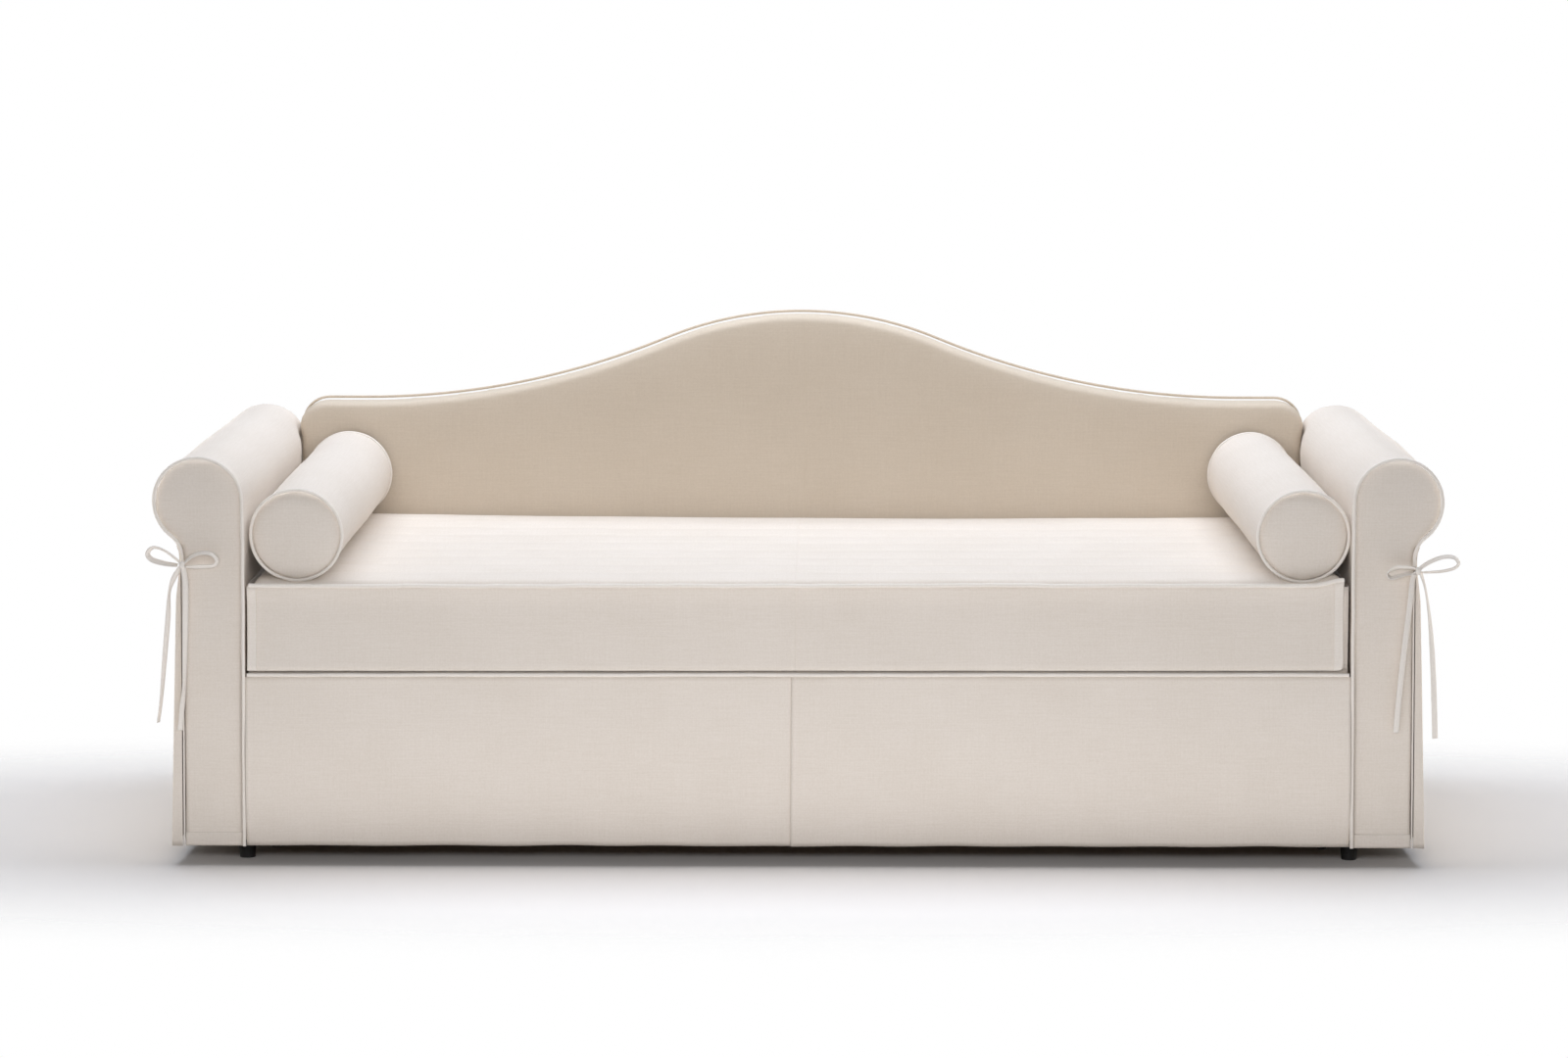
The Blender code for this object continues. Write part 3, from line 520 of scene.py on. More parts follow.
def makeArmPiping(word, side):
    points = pathPoints(keyholePath(armPiping.inset, hemHeight + armPiping.low, arm.tie))
    line = []
    for first, second in zip(points, points[1:]):
        count = max(1, round((second - first).length / armPiping.step))
        line += [first.lerp(second, step / count) for step in range(count)]
    line.append(points[-1])
    for dot in line:
        dot.x = side * (dot.x + splay(dot.z) + ripple(dot, armPiping.wander, side))
        dot.y = armPiping.front + ripple(dot, armPiping.sway, 2 * side)
    pipe("arm_edging_" + word, line, armPiping.radius, paintedLightTrim, "daybed", "arm_piping_" + word)


armSide = Settings(
    top=0.020,  # over the neck
    front=0.0015,  # before the CAD's
    rear=0.001, columns=92,
    folded=8,  # columns that turn round the front corner
    rows=50,
    lap=0.012,  # width of those columns
    edge=0.0006,  # turned edge off the wall
    curl=0.002, corner=0.0012,
    closer=1.6,  # columns crowd to the front
    off=0.0018,  # rest of the cloth off the wall
    stand=0.0055,  # how far it stands off below the tie
    standRun=0.06,
    flare=0.0135,  # and more toward the hem
    flarePower=0.9,
    calm=0.24,  # metres over which it settles toward the back
    waves=(0.0030, (1, 0.22, 0.5)), hemWaves=(0.0016, (1, 0.13, 10)), thickness=0.0014,
)


def makeArmSide(word, side):  # loose side of the cover, open at the front corner below the tie
    top = neckHeight + armSide.top
    front = armLow.y - armSide.front
    rear = armHigh.y + armSide.rear
    folded = armSide.folded / armSide.columns

    def place(across, up):
        z = hemHeight + (top - hemHeight) * up
        down = max(0.0, 1 - z / arm.tie)
        wall = armInner + arm.wall + splay(z)
        if z > neckHeight:
            wall = armInner + neckX - math.sqrt(arm.neck ** 2 - (z - neckHeight) ** 2)
        free = min(1.0, max(0.0, (arm.tie - z) / armSide.standRun))
        stand = armSide.stand * free + armSide.flare * down ** armSide.flarePower
        spot = Vector((side, across, z))
        if across < folded:
            share = across / folded
            x = wall + armSide.edge + (armSide.off + stand - armSide.edge) * share
            y = front + armSide.curl * (1 - share) ** 2
        else:
            share = ((across - folded) / (1 - folded)) ** armSide.closer
            y = front + armSide.corner + (rear - front - armSide.corner) * share
            near = math.exp((front - y) / armSide.calm)
            x = wall + armSide.off + stand * near
            x += ripple(spot, armSide.waves, 1.3 * side) * down * (1 - near)
        return (side * x, y, z + ripple(spot, armSide.hemWaves, 4.1 * side) * (1 - up))

    size = (rear - front + armSide.lap, top - hemHeight)
    drape("arm_side_" + word, (armSide.columns, armSide.rows), place, size, "daybed", armSide.thickness,
          "hung", "arm_" + word, flip=side < 0)


armHem = Settings(
    inner=0.0065,  # in from the panel's sides
    outer=0.0045, height=0.024, lift=0.0004,
    feel=0.010,  # lowest place where the panel is felt
    deepest=0.002, off=0.0003, thickness=0.0004,
)
armEdge = Settings(
    radius=0.0015, steps=48,
    low=0.001,  # over the hem
    high=0.011,  # below the tie
    inset=0.0020, feel=0.004, sunk=0.0006, wander=(0.0004, (1, 1, 0.06)),
)


def makeArmHem(word, side, tree):  # turned-up hem of the front panel, and its folded outer edge
    inner = armInner + armHem.inner
    outer = armInner + arm.wall - armHem.outer
    deepest = armLow.y + armHem.deepest
    size = (outer - inner, armHem.height)

    def place(across, up):
        z = hemHeight + armHem.lift + size[1] * up
        x = side * (splay(z) + (inner + size[0] * across if side > 0 else outer - size[0] * across))
        return (x, frontOf(tree, x, max(z, hemHeight + armHem.feel), deepest) - armHem.off, z)

    drape("arm_hem_" + word, (24, 6), place, size, "daybed", armHem.thickness, "folded", "arm_" + word)
    points = []
    for z in stops(hemHeight + armEdge.low, arm.tie - armEdge.high, armEdge.steps):
        x = armInner + arm.wall + splay(z) - armEdge.inset
        x += ripple(Vector((side, 0, z)), armEdge.wander, 2.2)
        y = frontOf(tree, side * (x - armEdge.feel), z, deepest) + armEdge.sunk
        points.append(Vector((side * x, y, z)))
    pipe("arm_edge_" + word, points, armEdge.radius, paintedLightTrim, "daybed")


makeArmPads()
for word, side in sides.items():
    makeArmPiping(word, side)
    makeArmSide(word, side)
    makeArmHem(word, side, surfaceOf("arm_" + word))
print("arms done")


# Back

backLow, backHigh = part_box("back_cover")
back = Settings(
    corner=0.050, shoulder=0.734,
    reach=0.835,  # middle to where the shoulders run level
    crownShare=0.31, inset=0.0005,
    room=0.003,  # for the swell, front and rear
    round=0.009, voxel=0.008, pressure=3.0, cap=0.003,
    broad=(0.0016, (0.30, 0.30, 0.20)), fine=(0.0005, (0.06, 0.06, 0.05)),
    wider=0.0045,  # upper corners
    widerRun=(0.90, 0.95), widerHeight=(0.655, 0.690), piping=0.0025,
    pipingOut=0.0012,  # beyond the edge of the pad
    pipingRear=0.0005, pipingWander=(0.0006, (0.07, 1, 0.07)),
)


def camelPath(inset):
    rise = backHigh.z - back.shoulder
    radii = (back.reach ** 2 + rise ** 2) / (2 * rise)
    crown = back.crownShare * radii
    sweep = radii - crown
    turn = 2 * math.atan(rise / back.reach)
    edge = backHigh.x - inset
    cornerX = backHigh.x - back.corner
    shoulder = back.shoulder
    return tracePath((edge, backLow.z), [
        (edge, shoulder - back.corner),
        (cornerX, shoulder - back.corner, math.pi / 2, 10),
        (back.reach, shoulder - inset),
        (back.reach, shoulder + sweep, -turn, 24),
        (0, backHigh.z - crown, 2 * turn, 48),
        (-back.reach, shoulder + sweep, -turn, 24),
        (-cornerX, shoulder - inset),
        (-cornerX, shoulder - back.corner, math.pi / 2, 10),
        (-edge, backLow.z),
    ])


def makeBack():
    work = camelPath(back.inset)
    front = backLow.y + back.room
    rear = backHigh.y - back.room
    fillPath(work, front, rear)
    rim = [edge for edge in work.edges if all(abs(vert.co.y - front) < 1e-4 for vert in edge.verts)]
    roundOff(work, rim, back.round, 4)
    mesh = stuffed(work, "back", back)

    def settle(spot, normal):
        spot += normal * (ripple(spot, back.broad, 5.2) + ripple(spot, back.fine, 1.1))
        wider = ease(abs(spot.x), *back.widerRun) * ease(spot.z, *back.widerHeight)
        spot.x += math.copysign(back.wider, spot.x) * wider
        return spot

    shape(mesh, settle)
    weaveOn(mesh, straightRun)
    pad = newPiece("back", mesh, canvasBackPaintedShade, "daybed", "back_cover", "back_pad", "back_board")
    points = pathPoints(camelPath(back.inset - back.pipingOut))
    for dot in points:
        dot.y = rear + back.pipingRear + ripple(dot, back.pipingWander, 2.2)
    pipe("back_piping_edge", points, back.piping, backTrimPaintedShade, "daybed", "back_piping")


makeBack()
print("back done")


# Bolsters

bolster = Settings(
    radius=0.0793,
    half=0.3945,  # half length to the seam of the round ends
    crown=0.003, middle=(0.866, -0.0375, 0.5890),
    turns={"left": math.radians(-0.75), "right": math.radians(1.7)},
    slope=0.0205,  # lies along the top of the mattress
    voxel=0.006, pressure=3.0, cap=0.003,
    broad=(0.0014, (0.12, 0.22, 0.12)), fine=(0.0005, (0.04, 0.04, 0.04)), piping=0.003,
    rearLess=0.0015,  # rear ring is a little smaller
    ringSteps=96, ringWander=(0.0006, (0.4, 1, 0.4)), ringSway=(0.0006, (0.03, 1, 0.03)),
)


def roundRun(face, x, y, z):  # the weave runs round the roll, and straight on its ends
    if abs(face.normal.y) > 0.7:
        return x, z
    behind = face.calc_center_median().x < 0
    turn = math.atan2(z, -x if behind else x)
    return y, bolster.radius * (math.pi - turn if behind else turn)


def makeBolsters():
    half = bolster.half
    end = half + bolster.crown
    radius = bolster.radius
    work = bmesh.new()
    verts = [work.verts.new((x, y, 0)) for x, y in ((0, -end), (radius, -half), (radius, half), (0, end))]
    for first, second in zip(verts, verts[1:]):
        bmesh.ops.contextual_create(work, geom=[first, second])
    bmesh.ops.spin(
        work, geom=work.verts[:] + work.edges[:], cent=(0, 0, 0), axis=(0, 1, 0), dvec=(0, 0, 0),
        angle=2 * math.pi, steps=72, use_merge=True)
    bmesh.ops.remove_doubles(work, verts=work.verts, dist=1e-5)
    bmesh.ops.recalc_face_normals(work, faces=work.faces)
    mesh = stuffed(work, "bolster", bolster, 2)
    for word, side in sides.items():
        own = mesh.copy()
        seed = 2.9 * side

        def settle(spot, normal, seed=seed):
            soft = ripple(spot, bolster.broad, seed) + ripple(spot, bolster.fine, seed)
            return spot + normal * soft

        shape(own, settle)
        weaveOn(own, roundRun)
        x, y, z = bolster.middle
        turn = Matrix.Translation((side * x, y, z)) @ Matrix.Rotation(bolster.turns[word], 4, "Z")
        turn = turn @ Matrix.Rotation(bolster.slope, 4, "X")
        own.transform(turn)
        pad = newPiece("bolster_pad_" + word, own, canvasCloth, "bolster_" + word, "bolster_" + word)
        for end, y, less in (("front", -half, 0.0), ("rear", half, bolster.rearLess)):
            ring = []
            for step in range(bolster.ringSteps):
                angle = 2 * math.pi * step / bolster.ringSteps
                spot = Vector((math.cos(angle), 0, math.sin(angle)))
                spot *= radius - less + ripple(spot, bolster.ringWander, seed + y)
                spot.y = y + ripple(spot, bolster.ringSway, seed - y)
                ring.append(turn @ spot)
            name = "bolster_piping_%s_%s" % (end, word)
            pipe(name, ring, bolster.piping, paintedLightTrim, "bolster_" + word, closed=True)


makeBolsters()
print("bolsters done")


# Mattress and its cover

coverLow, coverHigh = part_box("mattress_cover")
mattress = Settings(
    inset=0.0045, rearGap=0.002,
    rise=0.0058,  # top surface, from front to back
    round=0.008, voxel=0.012, pressure=3.0, cap=0.004, channels=9,
    channelDepth=0.005, channelSway=(0.25, (0.5, 10, 10)), broad=(0.0012, (0.22, 0.16, 1)),
    top=0.45,  # everything over this belongs to the top
    topFull=0.49,
    rearRise=(0.004, -0.0035, 0.0075),  # at the middle, for each metre, and squared
    cornerRise={"left": 0.004, "right": 0.010},  # front corners of the top
    cornerSize=0.045, dentGap=0.0005,
    dentPast=0.014,  # dent of a bolster beyond its ends
)
drop = Settings(
    left=-0.9572, right=0.9475,
    top=0.4957,  # seam at the front, in the middle
    topRise=0.0018,  # metres up for each metre to the right
    cornerRun=0.055,  # the seam rises to the right front corner
    low=0.0019,  # hem over the CAD's, in the middle
    lowRise=0.0019,
    corner=0.009,  # rounding of the right lower corner
    rim=0.0045,  # how far the rim stands before the CAD's front
    tuck=0.0045,  # in under the rim
    tuckRun=0.22, flare=0.0108, flareFrom=0.2, waves=(1, (0.24, 1, 0.6)),
    waveOut=0.0012, waveUp=0.0005, hemWaves=(0.0005, (0.12, 1, 9)), thickness=0.0012, piping=0.0037,
    pipingIn=0.004,  # starts this far in at the left
    pipingSteps=240, pipingBroad=(0.0012, (0.11, 1, 1)),
    pipingFine=(0.0005, (0.03, 1, 1)), pipingSway=(0.0008, (0.09, 1, 1)),
)


def dropHem(x):  # height of the hem of the front drop
    short = max(0.0, drop.corner - (drop.right - x))
    rounding = drop.corner - math.sqrt(drop.corner ** 2 - short ** 2)
    return coverLow.z + drop.low + drop.lowRise * x + rounding


def dropFront(down):  # in under the rim, then out to the hem
    flare = drop.flare * max(0.0, (down - drop.flareFrom) / (1 - drop.flareFrom)) ** 2
    return coverLow.y - drop.rim + drop.tuck * ease(down / drop.tuckRun) - flare


def dropTop(x):
    corner = mattress.cornerRise["right"] * ease(x, drop.right - drop.cornerRun, drop.right)
    return drop.top + drop.topRise * x + corner


def bolsterUnder(x, y):  # underside of a bolster over a point of the mattress
    middleX, middleY, middleZ = bolster.middle
    lowest = 1.0
    for word, side in sides.items():
        turn = bolster.turns[word]
        along = Vector((-math.sin(turn), math.cos(turn)))
        away = Vector((x - side * middleX, y - middleY))
        run = away.dot(along)
        aside = abs(away.x * along.y - away.y * along.x)
        if aside < bolster.radius and abs(run) < bolster.half + mattress.dentPast:
            depth = math.sqrt(bolster.radius ** 2 - aside ** 2)
            lowest = min(lowest, middleZ + bolster.slope * run - depth)
    return lowest


def makeMattress():
    inset = mattress.inset
    fillLow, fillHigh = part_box("mattress")
    low = Vector((coverLow.x + inset, coverLow.y + inset, fillLow.z))
    high = Vector((coverHigh.x - inset, coverHigh.y - mattress.rearGap, coverHigh.z - inset))
    work = bmesh.new()
    bmesh.ops.create_cube(work, size=1.0)
    for vert in work.verts:
        share = vert.co + Vector((0.5, 0.5, 0.5))
        vert.co = Vector(a + (b - a) * c for a, b, c in zip(low, high, share))
        if share.z > 0.5:
            vert.co.z -= mattress.rise * (1 - share.y)
    roundOff(work, work.edges[:], mattress.round, 3)
    mesh = modified(stuffed(work, "mattress_pad", mattress), "SUBSURF", levels=1, render_levels=1)
    rearMiddle, rearSlope, rearCurve = mattress.rearRise

    def settle(spot, normal):
        run = (spot.y - low.y) / (high.y - low.y)
        phase = math.pi * mattress.channels * run + ripple(spot, mattress.channelSway, 3.3)
        upward = max(0.0, normal.z)
        spot.z -= mattress.channelDepth * (1 - abs(math.sin(phase))) ** 2 * upward ** 2
        spot.z += ripple(spot, mattress.broad, 6.4) * upward
        rise = rearMiddle + rearSlope * spot.x + rearCurve * spot.x ** 2
        spot.z += ease(spot.z, mattress.top, mattress.topFull) * run ** 2 * rise
        spot.z += drop.topRise * spot.x * (1 - run) * upward
        for x, word in ((high.x, "right"), (low.x, "left")):
            away = Vector((x - spot.x, spot.y - low.y)).length
            near = math.exp(-(away / mattress.cornerSize) ** 2)
            spot.z += mattress.cornerRise[word] * near * upward
        if spot.z > mattress.top:
            spot.z = min(spot.z, bolsterUnder(spot.x, spot.y) - mattress.dentGap)
        return spot

    shape(mesh, settle)
    weaveOn(mesh, straightRun)
    pad = newPiece("mattress_pad", mesh, canvasCloth, "daybed", "mattress", "mattress_cover")


def makeMattressDrop():
    left = drop.left
    wide = drop.right - left

    def place(across, up):
        x = left + wide * across
        low = dropHem(x)
        z = low + (dropTop(x) - low) * up
        spot = Vector((x, 0, z))
        wave = ripple(spot, drop.waves, 2.7)
        y = dropFront(1 - up) - drop.waveOut * (1 - up) * wave
        z += (ripple(spot, drop.hemWaves, 8.1) + drop.waveUp * wave) * (1 - up)
        return (x, y, z)

    size = (wide, drop.top - dropHem(0))
    drape("mattress_drop", (180, 16), place, size, "daybed", drop.thickness, "hung", "mattress_pad")
    points = []
    for x in stops(left + drop.pipingIn, drop.right, drop.pipingSteps):
        spot = Vector((x, 0, 0))
        z = dropTop(x) + ripple(spot, drop.pipingBroad, 4.4) + ripple(spot, drop.pipingFine, 1.4)
        points.append(Vector((x, dropFront(0) + ripple(spot, drop.pipingSway, 7.7), z)))
    pipe("mattress_edge", points, drop.piping, paintedLightTrim, "daybed", "mattress_piping")


dropEnds = Settings(
    wide=0.016, inset=0.0003,
    below=0.001,  # under the seam
    lift=0.0005, feel=0.003, off=0.0016, thickness=0.0017,
)


def makeMattressHem():  # turned-in hems at the ends of the front drop
    tree = surfaceOf("mattress_drop")
    left = drop.left + dropEnds.inset
    right = drop.right - dropEnds.inset
    wide = dropEnds.wide
    top = drop.top - dropEnds.below
    meshes = []
    for first in (left, right - wide):
        def place(across, up, first=first):
            x = first + wide * across
            start = dropHem(x) + dropEnds.lift
            z = start + (dropTop(x) - dropEnds.below - start) * up
            y = frontOf(tree, x, max(z, start + dropEnds.feel), dropFront(1 - up)) - dropEnds.off
            return (x, y, z)
        meshes.append(clothSheet("hem", 8, 18, place, (wide, top - dropHem(first))))
    mesh = joined("mattress_drop_hem", meshes)
    hang("mattress_drop_hem", mesh, canvasHem, "daybed",
         dropEnds.thickness, (2 * wide, top - dropHem(0)), "folded", "mattress_drop")


sideDrop = Settings(
    corner=0.0004,  # in from the CAD's side
    front=0.0012, rear=0.015,
    below=0.001,  # under the seam
    lap=0.030,  # round the front corner
    hemWaves=(0.0010, (0.10, 1, 9)), thickness=0.0010,
)


def makeMattressSide(word, side):  # side drop, which turns round the front corner under the front drop
    corner = coverHigh.x - sideDrop.corner
    front = coverLow.y + sideDrop.front
    low = dropHem(0) + drop.lowRise * side
    high = drop.top - sideDrop.below
    lap = sideDrop.lap
    run = lap + coverHigh.y - sideDrop.rear - front

    def place(across, up):
        gone = run * across
        z = low + (high - low) * up
        spot = Vector((gone, 0, z))
        if gone < lap:
            x, y = corner - lap + gone, front
        else:
            x, y = corner, front + gone - lap
        z += ripple(spot, sideDrop.hemWaves, 5.1 * side) * (1 - up)
        return (side * x, y, z)

    drape("mattress_side_" + word, (86, 12), place, (run, high - low), "daybed", sideDrop.thickness,
          "hung", "mattress_pad", flip=side < 0)


underlap = Settings(
    low=0.3380,  # just over the board of the trundle
    height=0.016, inset=0.001, behind=0.0012, curl=0.0030, thickness=0.0012,
)


def makeMattressUnderlap():  # lower edge of the cover, folded in behind the front drop
    size = (2 * (coverHigh.x - underlap.inset), underlap.height)

    def place(across, up):
        y = coverLow.y + underlap.behind + underlap.curl * (1 - up) ** 2
        return (size[0] * (across - 0.5), y, underlap.low + size[1] * up)

    drape("mattress_underlap", (120, 5), place, size, "daybed", underlap.thickness, "folded", "mattress_pad")


seams = Settings(
    radius=0.0007, steps=80,
    x=-0.003,  # on the mattress
    backX=0.007,
    top=(0.012, 0.018),  # in from the front and the rear of the cover
    front=0.002,  # in from the hem and the rim
    back=(0.010, 0.022),  # below the top of the mattress, and below the crown
    backDeepest=0.020, backSunk=0.0003,
)


def makeSeams():  # sewn joins of the cloth in the middle
    x = seams.x
    run = stops(coverLow.y + seams.top[0], coverHigh.y - seams.top[1], seams.steps)
    tree = surfaceOf("mattress_pad")
    points = [Vector((x, y, topOf(tree, x, y, mattress.top))) for y in run]
    pipe("seam_top", points, seams.radius, seamCloth, "daybed")
    run = stops(dropHem(x) + seams.front, drop.top - seams.front, seams.steps)
    tree = surfaceOf("mattress_drop")
    points = [Vector((x, frontOf(tree, x, z, coverLow.y), z)) for z in run]
    pipe("seam_front", points, seams.radius, seamCloth, "daybed")
    x = seams.backX
    run = stops(coverHigh.z - seams.back[0], backHigh.z - seams.back[1], seams.steps)
    tree = surfaceOf("back")
    deepest = backLow.y + seams.backDeepest
    points = [Vector((x, frontOf(tree, x, z, deepest) + seams.backSunk, z)) for z in run]
    pipe("seam_back", points, seams.radius, backTrimPaintedShade, "daybed")


makeMattress()
makeMattressDrop()
makeMattressUnderlap()
makeSeams()
makeMattressHem()
for word, side in sides.items():
    makeMattressSide(word, side)
print("mattress done")


# Skirt on the trundle

skirtLow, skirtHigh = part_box("skirt_left")
skirt = Settings(
    front=-0.4545, slit=-0.010, slitLean=0.002, reach=0.9590,
    drop=0.0003,  # top edge below the CAD's, in the middle
    rise=0.0018,  # metres up for each metre to the right
    hem=0.0018,  # hem below the CAD's
    hemRise=0.0006, swell=0.0065, swellRun=0.45, tuck=0.0118, tuckFrom=0.58,
    lap=0.0028,  # left half reaches under the right one
    lapIn=0.0022, lapRun=(-0.010, -0.002), waves=(1, (0.16, 1, 0.35)),
    broad=(0.6, (0.45, 1, 0.8)), waveOut=0.0022, waveUp=0.0010,
    hemWaves=(0.0018, (0.11, 1, 9)), thickness=0.0014, pleatIn=0.0011,
    pleatLow=0.012, piping=0.0032,
    pipingOut=0.0034,  # before the CAD's
    pipingSteps=240, pipingWander=(0.0006, (0.10, 1, 1)),
)


def skirtFront(down):  # out below the piping, and in again at the hem
    out = skirt.swell * ease(down / skirt.swellRun)
    tuck = skirt.tuck * max(0.0, (down - skirt.tuckFrom) / (1 - skirt.tuckFrom)) ** 2
    return skirt.front - out + tuck


def makeSkirtHalf(word, side):
    middle = skirtHigh.z - skirt.drop

    def place(across, up):
        down = 1 - up
        start = skirt.slit - skirt.slitLean * down + (skirt.lap if side < 0 else 0)
        end = side * (skirt.reach + splay(skirtLow.z + (middle - skirtLow.z) * up))
        left, right = (end, start) if side < 0 else (start, end)
        x = left + (right - left) * across
        top = middle + skirt.rise * x
        hem = skirtLow.z - skirt.hem + skirt.hemRise * x
        spot = Vector((x, 0, hem + (top - hem) * up))
        wave = ripple(spot, skirt.waves, 5.5) + ripple(spot, skirt.broad, 1.5)
        y = skirtFront(down) - skirt.waveOut * min(1.0, 4 * down) * wave
        if side < 0:
            y += skirt.lapIn * ease(x - start, *skirt.lapRun)
        z = spot.z + (ripple(spot, skirt.hemWaves, 3.1 + side) + skirt.waveUp * wave) * down
        return (x, y, z)

    size = (skirt.reach - side * skirt.slit, middle - skirtLow.z)
    drape("skirt_half_" + word, (160, 36), place, size, "trundle", skirt.thickness,
          "hung", "trundle_front_board", "skirt_" + word)


def makeSkirtTrim():
    low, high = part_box("skirt_pleat")
    size = (high.x - low.x, high.z - low.z)
    short = skirt.pleatLow

    def place(across, up):
        z = low.z + short + (size[1] - short) * up
        return (low.x + size[0] * across, low.y + skirt.pleatIn, z)

    drape("pleat", (20, 16), place, size, "trundle", skirt.thickness,
          "hung", "trundle_front_board", "skirt_pleat")
    low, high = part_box("skirt_piping")
    middle = (low + high) / 2
    points = []
    for x in stops(low.x, high.x, skirt.pipingSteps):
        spot = Vector((x, middle.y - skirt.pipingOut, middle.z))
        spot.z += ripple(spot, skirt.pipingWander, 2.1) - skirt.drop + skirt.rise * x
        points.append(spot)
    pipe("skirt_edge", points, skirt.piping, paintedLightTrim, "trundle", "skirt_piping")


for word, side in sides.items():
    makeSkirtHalf(word, side)
makeSkirtTrim()
print("skirt done")


# Tape ties on the front corners

tie = Settings(
    tape=0.0100, thickness=0.0011, front=-0.4600,
    steps=7,  # between two given points
    knot={"left": (-1.0665, 0.5325), "right": (1.0735, 0.5256)},
    knotRound=0.030, knotWide=0.0085, knotPinch=0.15, knotBulge=0.25,
    knotOut=0.0020, knotDown=0.0005,
    knotRadii=(0.0042, 0.0052),  # to the front, and up
)
strands = {  # millimetres right, up and forward of the knot; share of the face shown
    "left": {
        "outer loop": [
            (-1, 1, 1, 0.4), (-12, 12, 3, 0.55), (-31, 26, 5, 0.5), (-49, 31, 6, 0.55),
            (-59, 21, 5, 0.7), (-53, 10, 4, 0.8), (-33, 3, 3, 0.75), (-8, -1, 1, 0.45),
        ],
        "inner loop": [
            (3, 3, 1, 0.4), (16, 14, 3, 0.5), (33, 21, 5, 0.5), (51, 20, 6, 0.5),
            (61, 9, 5, 0.5), (55, -1, 4, 0.6), (33, -3, 3, 0.75), (6, -4, 1, 0.5),
        ],
        "outer tail": [
            (0, -2, 2, 0.6), (-4, -6, 2, 0.75), (-15, -24, 3, 0.8), (-23, -49, 3, 0.3),
            (-26, -92, 3, 0.75), (-33, -163, 3, 0.7), (-40, -235, 3, 0.4), (-46, -277, 3, 0.35),
        ],
        "inner tail": [
            (1, -2, 2, 0.6), (2, -6, 2, 0.85), (5, -36, 2, 0.97), (4, -92, 2, 0.9),
            (2, -163, 2, 0.75), (0, -216, 2, 0.5), (-4, -250, 2, 0.75), (-8, -291, 2, 0.8),
        ],
    },
    "right": {
        "outer loop": [
            (2, 3, 1, 0.4), (19, 15, 3, 0.5), (41, 24, 5, 0.5), (60, 24, 6, 0.55),
            (69, 14, 5, 0.6), (62, 5, 4, 0.6), (39, -1, 3, 0.55), (6, -3, 1, 0.4),
        ],
        "inner loop": [
            (-3, 2, 1, 0.5), (-19, 6, 3, 0.7), (-39, 6, 5, 0.75), (-53, -4, 6, 0.4),
            (-47, -12, 5, 0.55), (-30, -8, 3, 0.5), (-17, -5, 2, 0.45), (-2, -5, 1, 0.4),
        ],
        "outer tail": [
            (2, -3, 2, 0.5), (5, -6, 2, 0.55), (13, -33, 3, 0.4), (20, -76, 3, 0.55),
            (25, -125, 3, 0.85), (30, -200, 3, 0.95), (34, -294, 3, 0.97),
        ],
        "inner tail": [
            (-2, -3, 2, 0.7), (-9, -13, 3, 0.9), (-14, -65, 3, 0.97), (-22, -140, 3, 0.97),
            (-29, -215, 3, 0.97), (-34, -284, 3, 0.97),
        ],
    },
}


def tapeStrand(name, knot, points):
    line = glide(points, tie.steps)
    run = [Vector((knot[0] + x / 1000, tie.front - y / 1000, knot[1] + z / 1000)) for x, z, y, _ in line]
    length = sum((second - first).length for first, second in zip(run, run[1:]))

    def place(across, up):
        index = round(across * (len(run) - 1))
        along = run[min(index + 1, len(run) - 1)] - run[max(index - 1, 0)]
        flat = Vector((-along.z, 0, along.x)).normalized()
        shown = min(0.99, max(0.0, line[index][3]))
        face = Vector((0, math.sqrt(1 - shown ** 2), 0)) + flat * shown
        return run[index] + face * (up - 0.5) * tie.tape

    return clothSheet(name, len(run) - 1, 3, place, (length, tie.tape)), length


def tapeKnot(name, knot):
    forward, upward = tie.knotRadii

    def place(across, up):
        turn = 2 * math.pi * across
        bulge = 1 + tie.knotBulge * math.sin(math.pi * up)
        return Vector((
            knot[0] + (up - 0.5) * tie.knotWide * (1 + tie.knotPinch * math.cos(turn)),
            tie.front - tie.knotOut - forward * bulge * math.sin(turn),
            knot[1] - tie.knotDown + upward * bulge * math.cos(turn)))

    return clothSheet(name, 24, 6, place, (tie.knotRound, tie.knotWide))


for word in sides:
    knot = tie.knot[word]
    meshes = [tapeKnot("knot", knot)]
    total = tie.knotRound
    for name, points in strands[word].items():
        mesh, length = tapeStrand(name, knot, points)
        meshes.append(mesh)
        total += length
    hang("tie_" + word, joined("tie_" + word, meshes), tapeCloth, "daybed", tie.thickness,
         (tie.tape, total), "hung", "arm_" + word, "tie_bow_" + word, "tie_tails_" + word, offset=0.0)
print("ties done")


# Mattress of the trundle

lowerBed = Settings(
    inset=0.006, round=0.022, voxel=0.014, pressure=3.0, cap=0.006,
    tufts=(11, 5), tuftDepth=0.007, tuftSize=0.045,
    broad=(0.001, (0.15, 0.15, 0.15)), tape=0.0035, tapeIn=0.010,
    tapeHeight=0.018,  # from the top and the bottom
    tapeCorner=0.03,
)


